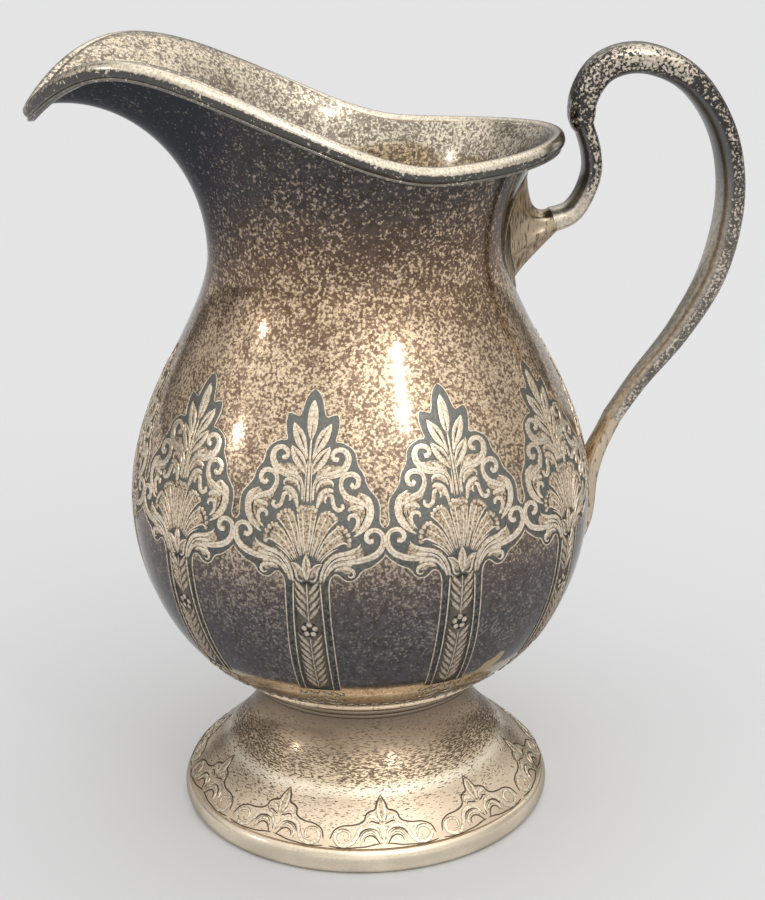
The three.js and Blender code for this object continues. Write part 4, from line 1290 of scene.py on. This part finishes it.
# %% [markdown]
# ## Wrap the drawing on the belly
# A point of the flat drawing becomes a turn round the axis and a way along the belly's line,
# and its height stands square on the surface. One motif is wrapped, then a spin that copies
# instead of joining sets the other nine.

# %% Wrap and repeat
MOTIFS = 10
FIRST_MOTIF = math.radians(18)
PROUD = 0.05


class Surface:
    """A turned surface that flat drawings are laid on."""

    def __init__(self, line, start, radius):
        self.radius = radius
        self.points = [Vector(p) for p in line]
        self.lengths = [0.0]
        for a, b in zip(self.points, self.points[1:]):
            self.lengths.append(self.lengths[-1] + (b - a).length)
        self.start = self.lengths[start]

    def lay(self, x, y, height, turn):
        """Point of the surface that x, y and height of a drawing come to."""
        length = min(max(y + self.start, 0.001), self.lengths[-1] - 0.001)
        k = bisect_right(self.lengths, length) - 1
        a, b = self.points[k], self.points[k + 1]
        spot = a.lerp(b, (length - self.lengths[k]) / (b - a).length)
        before = self.points[max(0, k - 1)]
        after = self.points[min(len(self.points) - 1, k + 2)]
        way = (after - before).normalized()
        r, z = spot.x + height * way.y, spot.y - height * way.x
        angle = turn + x / self.radius
        return Vector((r * math.sin(angle), -r * math.cos(angle), z))


def wrap(sheet, surface, turn, lift=0.0):
    """Lays a flat drawing on a surface and repeats it all round."""
    for vert in sheet.verts:
        vert.co = surface.lay(vert.co.x, vert.co.y, vert.co.z + lift, turn)
    motif = sheet.verts[:] + sheet.edges[:] + sheet.faces[:]
    bmesh.ops.spin(sheet, geom=motif, cent=(0, 0, 0), axis=(0, 0, 1), steps=MOTIFS - 1,
                   angle=math.tau * (MOTIFS - 1) / MOTIFS, use_duplicate=True)
    return sheet


BELLY = Surface(belly_line, len(bowl) - 1, GIRTH)
print(MOTIFS, "motifs, each", round(math.tau * GIRTH / MOTIFS, 1), "mm wide")

# %% [markdown]
# ## Finish of the ornament
# The ground keeps its slate tarnish. It is darker low on the belly, and so are the strokes
# there, as a painted reflection of a dark floor, like the body's plate. The strokes take the
# relief attribute: their feet stay as dark as the ground, broad leaves are tan, and crests are
# rubbed to cream with some brown specks.

# %% Ornament finishes
GROUND_LOW, GROUND_HIGH = (0.050, 0.050, 0.049), (0.170, 0.178, 0.165)
# Darker low on the belly as a painted reflection of a dark floor, like the body's plate.
GROUND_SLATE_AND_REFLECTION = [(35, GROUND_LOW), (56, GROUND_LOW), (72, GROUND_HIGH), (95, GROUND_HIGH)]
GROUND_GREY = (0.29, 0.275, 0.25)
RELIEF_BROWN = (0.24, 0.178, 0.115)
RELIEF_TAN, RELIEF_CREAM = (0.69, 0.555, 0.405), (0.96, 0.85, 0.685)
BELLY_FOOT = (0.05, 0.05, 0.048)
# Tan and cream, darker low on the belly as a painted reflection.
BELLY_TAN_AND_REFLECTION = [(35, (0.38, 0.33, 0.265)), (55, (0.40, 0.345, 0.275)), (68, RELIEF_TAN),
             (95, RELIEF_TAN)]
BELLY_CREAM_AND_REFLECTION = [(35, (0.66, 0.59, 0.49)), (55, (0.70, 0.62, 0.51)), (68, RELIEF_CREAM),
               (95, RELIEF_CREAM)]
BORDER_FOOT, BORDER_TAN, BORDER_CREAM = (0.13, 0.103, 0.075), (0.55, 0.45, 0.32), (0.84, 0.74, 0.58)


def etched_ground():
    """Slate tarnish, darker low as a painted reflection, with grey grain."""
    finish, tree, shader = new_finish("etched_ground")
    grain = flecks(tree, place(tree), 1900, 3.0)
    slate = by_height(tree, along(tree, "Z"), GROUND_SLATE_AND_REFLECTION)
    tone = blend(tree, ease(tree, grain, 0.36, 0.72, 0, 0.55), slate, GROUND_GREY)
    lead(tree, shader, tone, ease(tree, grain, 0.3, 0.7, 0.45, 0.34))
    roughen(tree, shader, grain, 0.2)
    return finish


def rubbed_relief(name, foot, tan, cream):
    """Dark feet, tan leaves and bright crests; tan and cream are colours by height, darker low as a
    painted reflection.
    """
    finish, tree, shader = new_finish(name)
    z, relief = along(tree, "Z"), attribute(tree, "relief")
    grain = flecks(tree, place(tree, shift=(0.4, 0.2, 0.6)), 2300, 3.0)
    speck = ease(tree, grain, 0.40, 0.53)
    leaf, crest = by_height(tree, z, tan), by_height(tree, z, cream)
    low, high = blend(tree, speck, RELIEF_BROWN, leaf), blend(tree, speck, leaf, crest)
    raised = blend(tree, ease(tree, relief, 0.55, 0.85), low, high)
    tone = blend(tree, ease(tree, relief, 0.10, 0.34), foot, raised)
    lead(tree, shader, tone, ease(tree, relief, 0, 0.8, 0.42, 0.24))
    roughen(tree, shader, grain, 0.10)
    return finish


ETCHED_GROUND = etched_ground()
BELLY_RELIEF = rubbed_relief("belly_relief", BELLY_FOOT, BELLY_TAN_AND_REFLECTION, BELLY_CREAM_AND_REFLECTION)
FOOT_RELIEF = rubbed_relief("foot_relief", BORDER_FOOT, BORDER_TAN, BORDER_CREAM)
print("ornament finishes", ETCHED_GROUND.name, BELLY_RELIEF.name, FOOT_RELIEF.name)

# %% [markdown]
# ## Ornament of the belly
# The ground and the four drawings stay separate pieces, which keeps each of them light. A bump
# in the body's finish could stand for them, but it would not cast their fine shadows. They lie
# a twentieth of a millimetre proud, so that the ground is clear of the belly's own faces.

# %% Ornament of the belly
DRAWINGS = {"belly_leaves": draw_leaves, "belly_flowers": draw_flowers,
            "belly_outline": draw_outline, "belly_stems": draw_stem}
ground = wrap(ground_sheet(), BELLY, FIRST_MOTIF, PROUD)
finish_piece(ground, "belly_ground", [ETCHED_GROUND], "body_plate")
for name, draw in DRAWINGS.items():
    drawing = new_sheet()
    draw(drawing)
    wrap(drawing, BELLY, FIRST_MOTIF, PROUD)
    finish_piece(drawing, name, [BELLY_RELIEF], "body_plate")

# %% [markdown]
# ## Border of the foot
# Ten smaller motifs stand on the foot's edge: a pointed leaf over two scrolls. Here the metal
# was not bitten away. It is chased, so bright shapes are parted only by thin dark lines. The
# strokes of the belly serve here too, lower and with dark ones among them.

# %% Ornament of the foot
FOOT_LEAF = [(0, 4.6, 0.3), (0, 6.4, 0.85), (0, 8, 0.6), (0, 9.3, 0.08)]
FOOT_LIGHTS = [
    [(0.1, 4.8, 0.13), (0.73, 6.5, 0.28), (0.6, 8.2, 0.22), (0.1, 9.4, 0.05)],
    [(0.55, 4.7, 0.15), (1.42, 5.7, 0.33), (2.4, 6, 0.33), (3.05, 5.5, 0.22), (2.75, 5.1, 0.1)],
    [(0.47, 1.8, 0.15), (0.9, 3.2, 0.25), (1.83, 4, 0.33), (3.25, 4.1, 0.36), (4.6, 3.45, 0.34),
     (5.2, 2.2, 0.32), (6, 1, 0.33), (7.4, 0.5, 0.33), (8.7, 0.85, 0.33), (9.35, 1.8, 0.31),
     (8.95, 2.9, 0.3), (7.8, 3.35, 0.28), (6.75, 3, 0.25), (6.45, 2.2, 0.22), (6.9, 1.5, 0.2),
     (7.6, 1.65, 0.16)],
    [(1.15, 2, 0.14), (2.15, 3.05, 0.27), (3.5, 2.85, 0.27), (4.2, 1.75, 0.24), (4.3, 0.85, 0.12)],
]
FOOT_LINES = [
    [(0, 10, 0.07), (0.55, 9.1, 0.12), (1.05, 8.2, 0.14), (1.4, 7.2, 0.12), (2.4, 6.9, 0.13),
     (3.35, 6.3, 0.13), (3.6, 5.35, 0.12), (4.5, 4.7, 0.12), (6.1, 4.3, 0.1), (8, 4.1, 0.1),
     (9.6, 3.2, 0.1), (10.2, 1.5, 0.09)],
    [(0.35, 4.4, 0.06), (1.2, 4.7, 0.1), (2.3, 5.05, 0.1), (2.7, 4.7, 0.06)],
    [(0.25, 1.5, 0.08), (0.75, 2.8, 0.1), (1.6, 3.5, 0.1), (3, 3.6, 0.1), (4.1, 3.1, 0.09),
     (4.7, 2.1, 0.08)],
    [(0.7, 0.7, 0.08), (1.6, 2, 0.1), (2.6, 2.4, 0.1), (3.5, 2, 0.08), (3.8, 1.1, 0.06)],
    [(0.2, 0.9, 0.05), (1.6, 0.75, 0.09), (3.2, 0.4, 0.09), (5, 0.25, 0.09), (7.4, 0.05, 0.09),
     (10.3, 0.3, 0.08)],
]
FOOT_VEIN = [(0, 5, 0.068), (0, 6.4, 0.108), (0, 7.6, 0.068)]
LEAF_CREST, LIGHT_CREST, LINE_CREST = 0.09, 0.13, 0.07
FOOT = Surface(foot_skin, 0, FOOT_EDGE)
border = new_sheet()
stroke(border, FOOT_LEAF, LEAF_CREST, BODY_TONE)
for points in FOOT_LIGHTS:
    both(border, points, LIGHT_CREST)
for points in FOOT_LINES:
    both(border, wider(points, 1.35), LINE_CREST, 0)
stroke(border, FOOT_VEIN, LINE_CREST, 0)
finish_piece(wrap(border, FOOT, 0), "foot_border", [FOOT_RELIEF], "foot_plate")
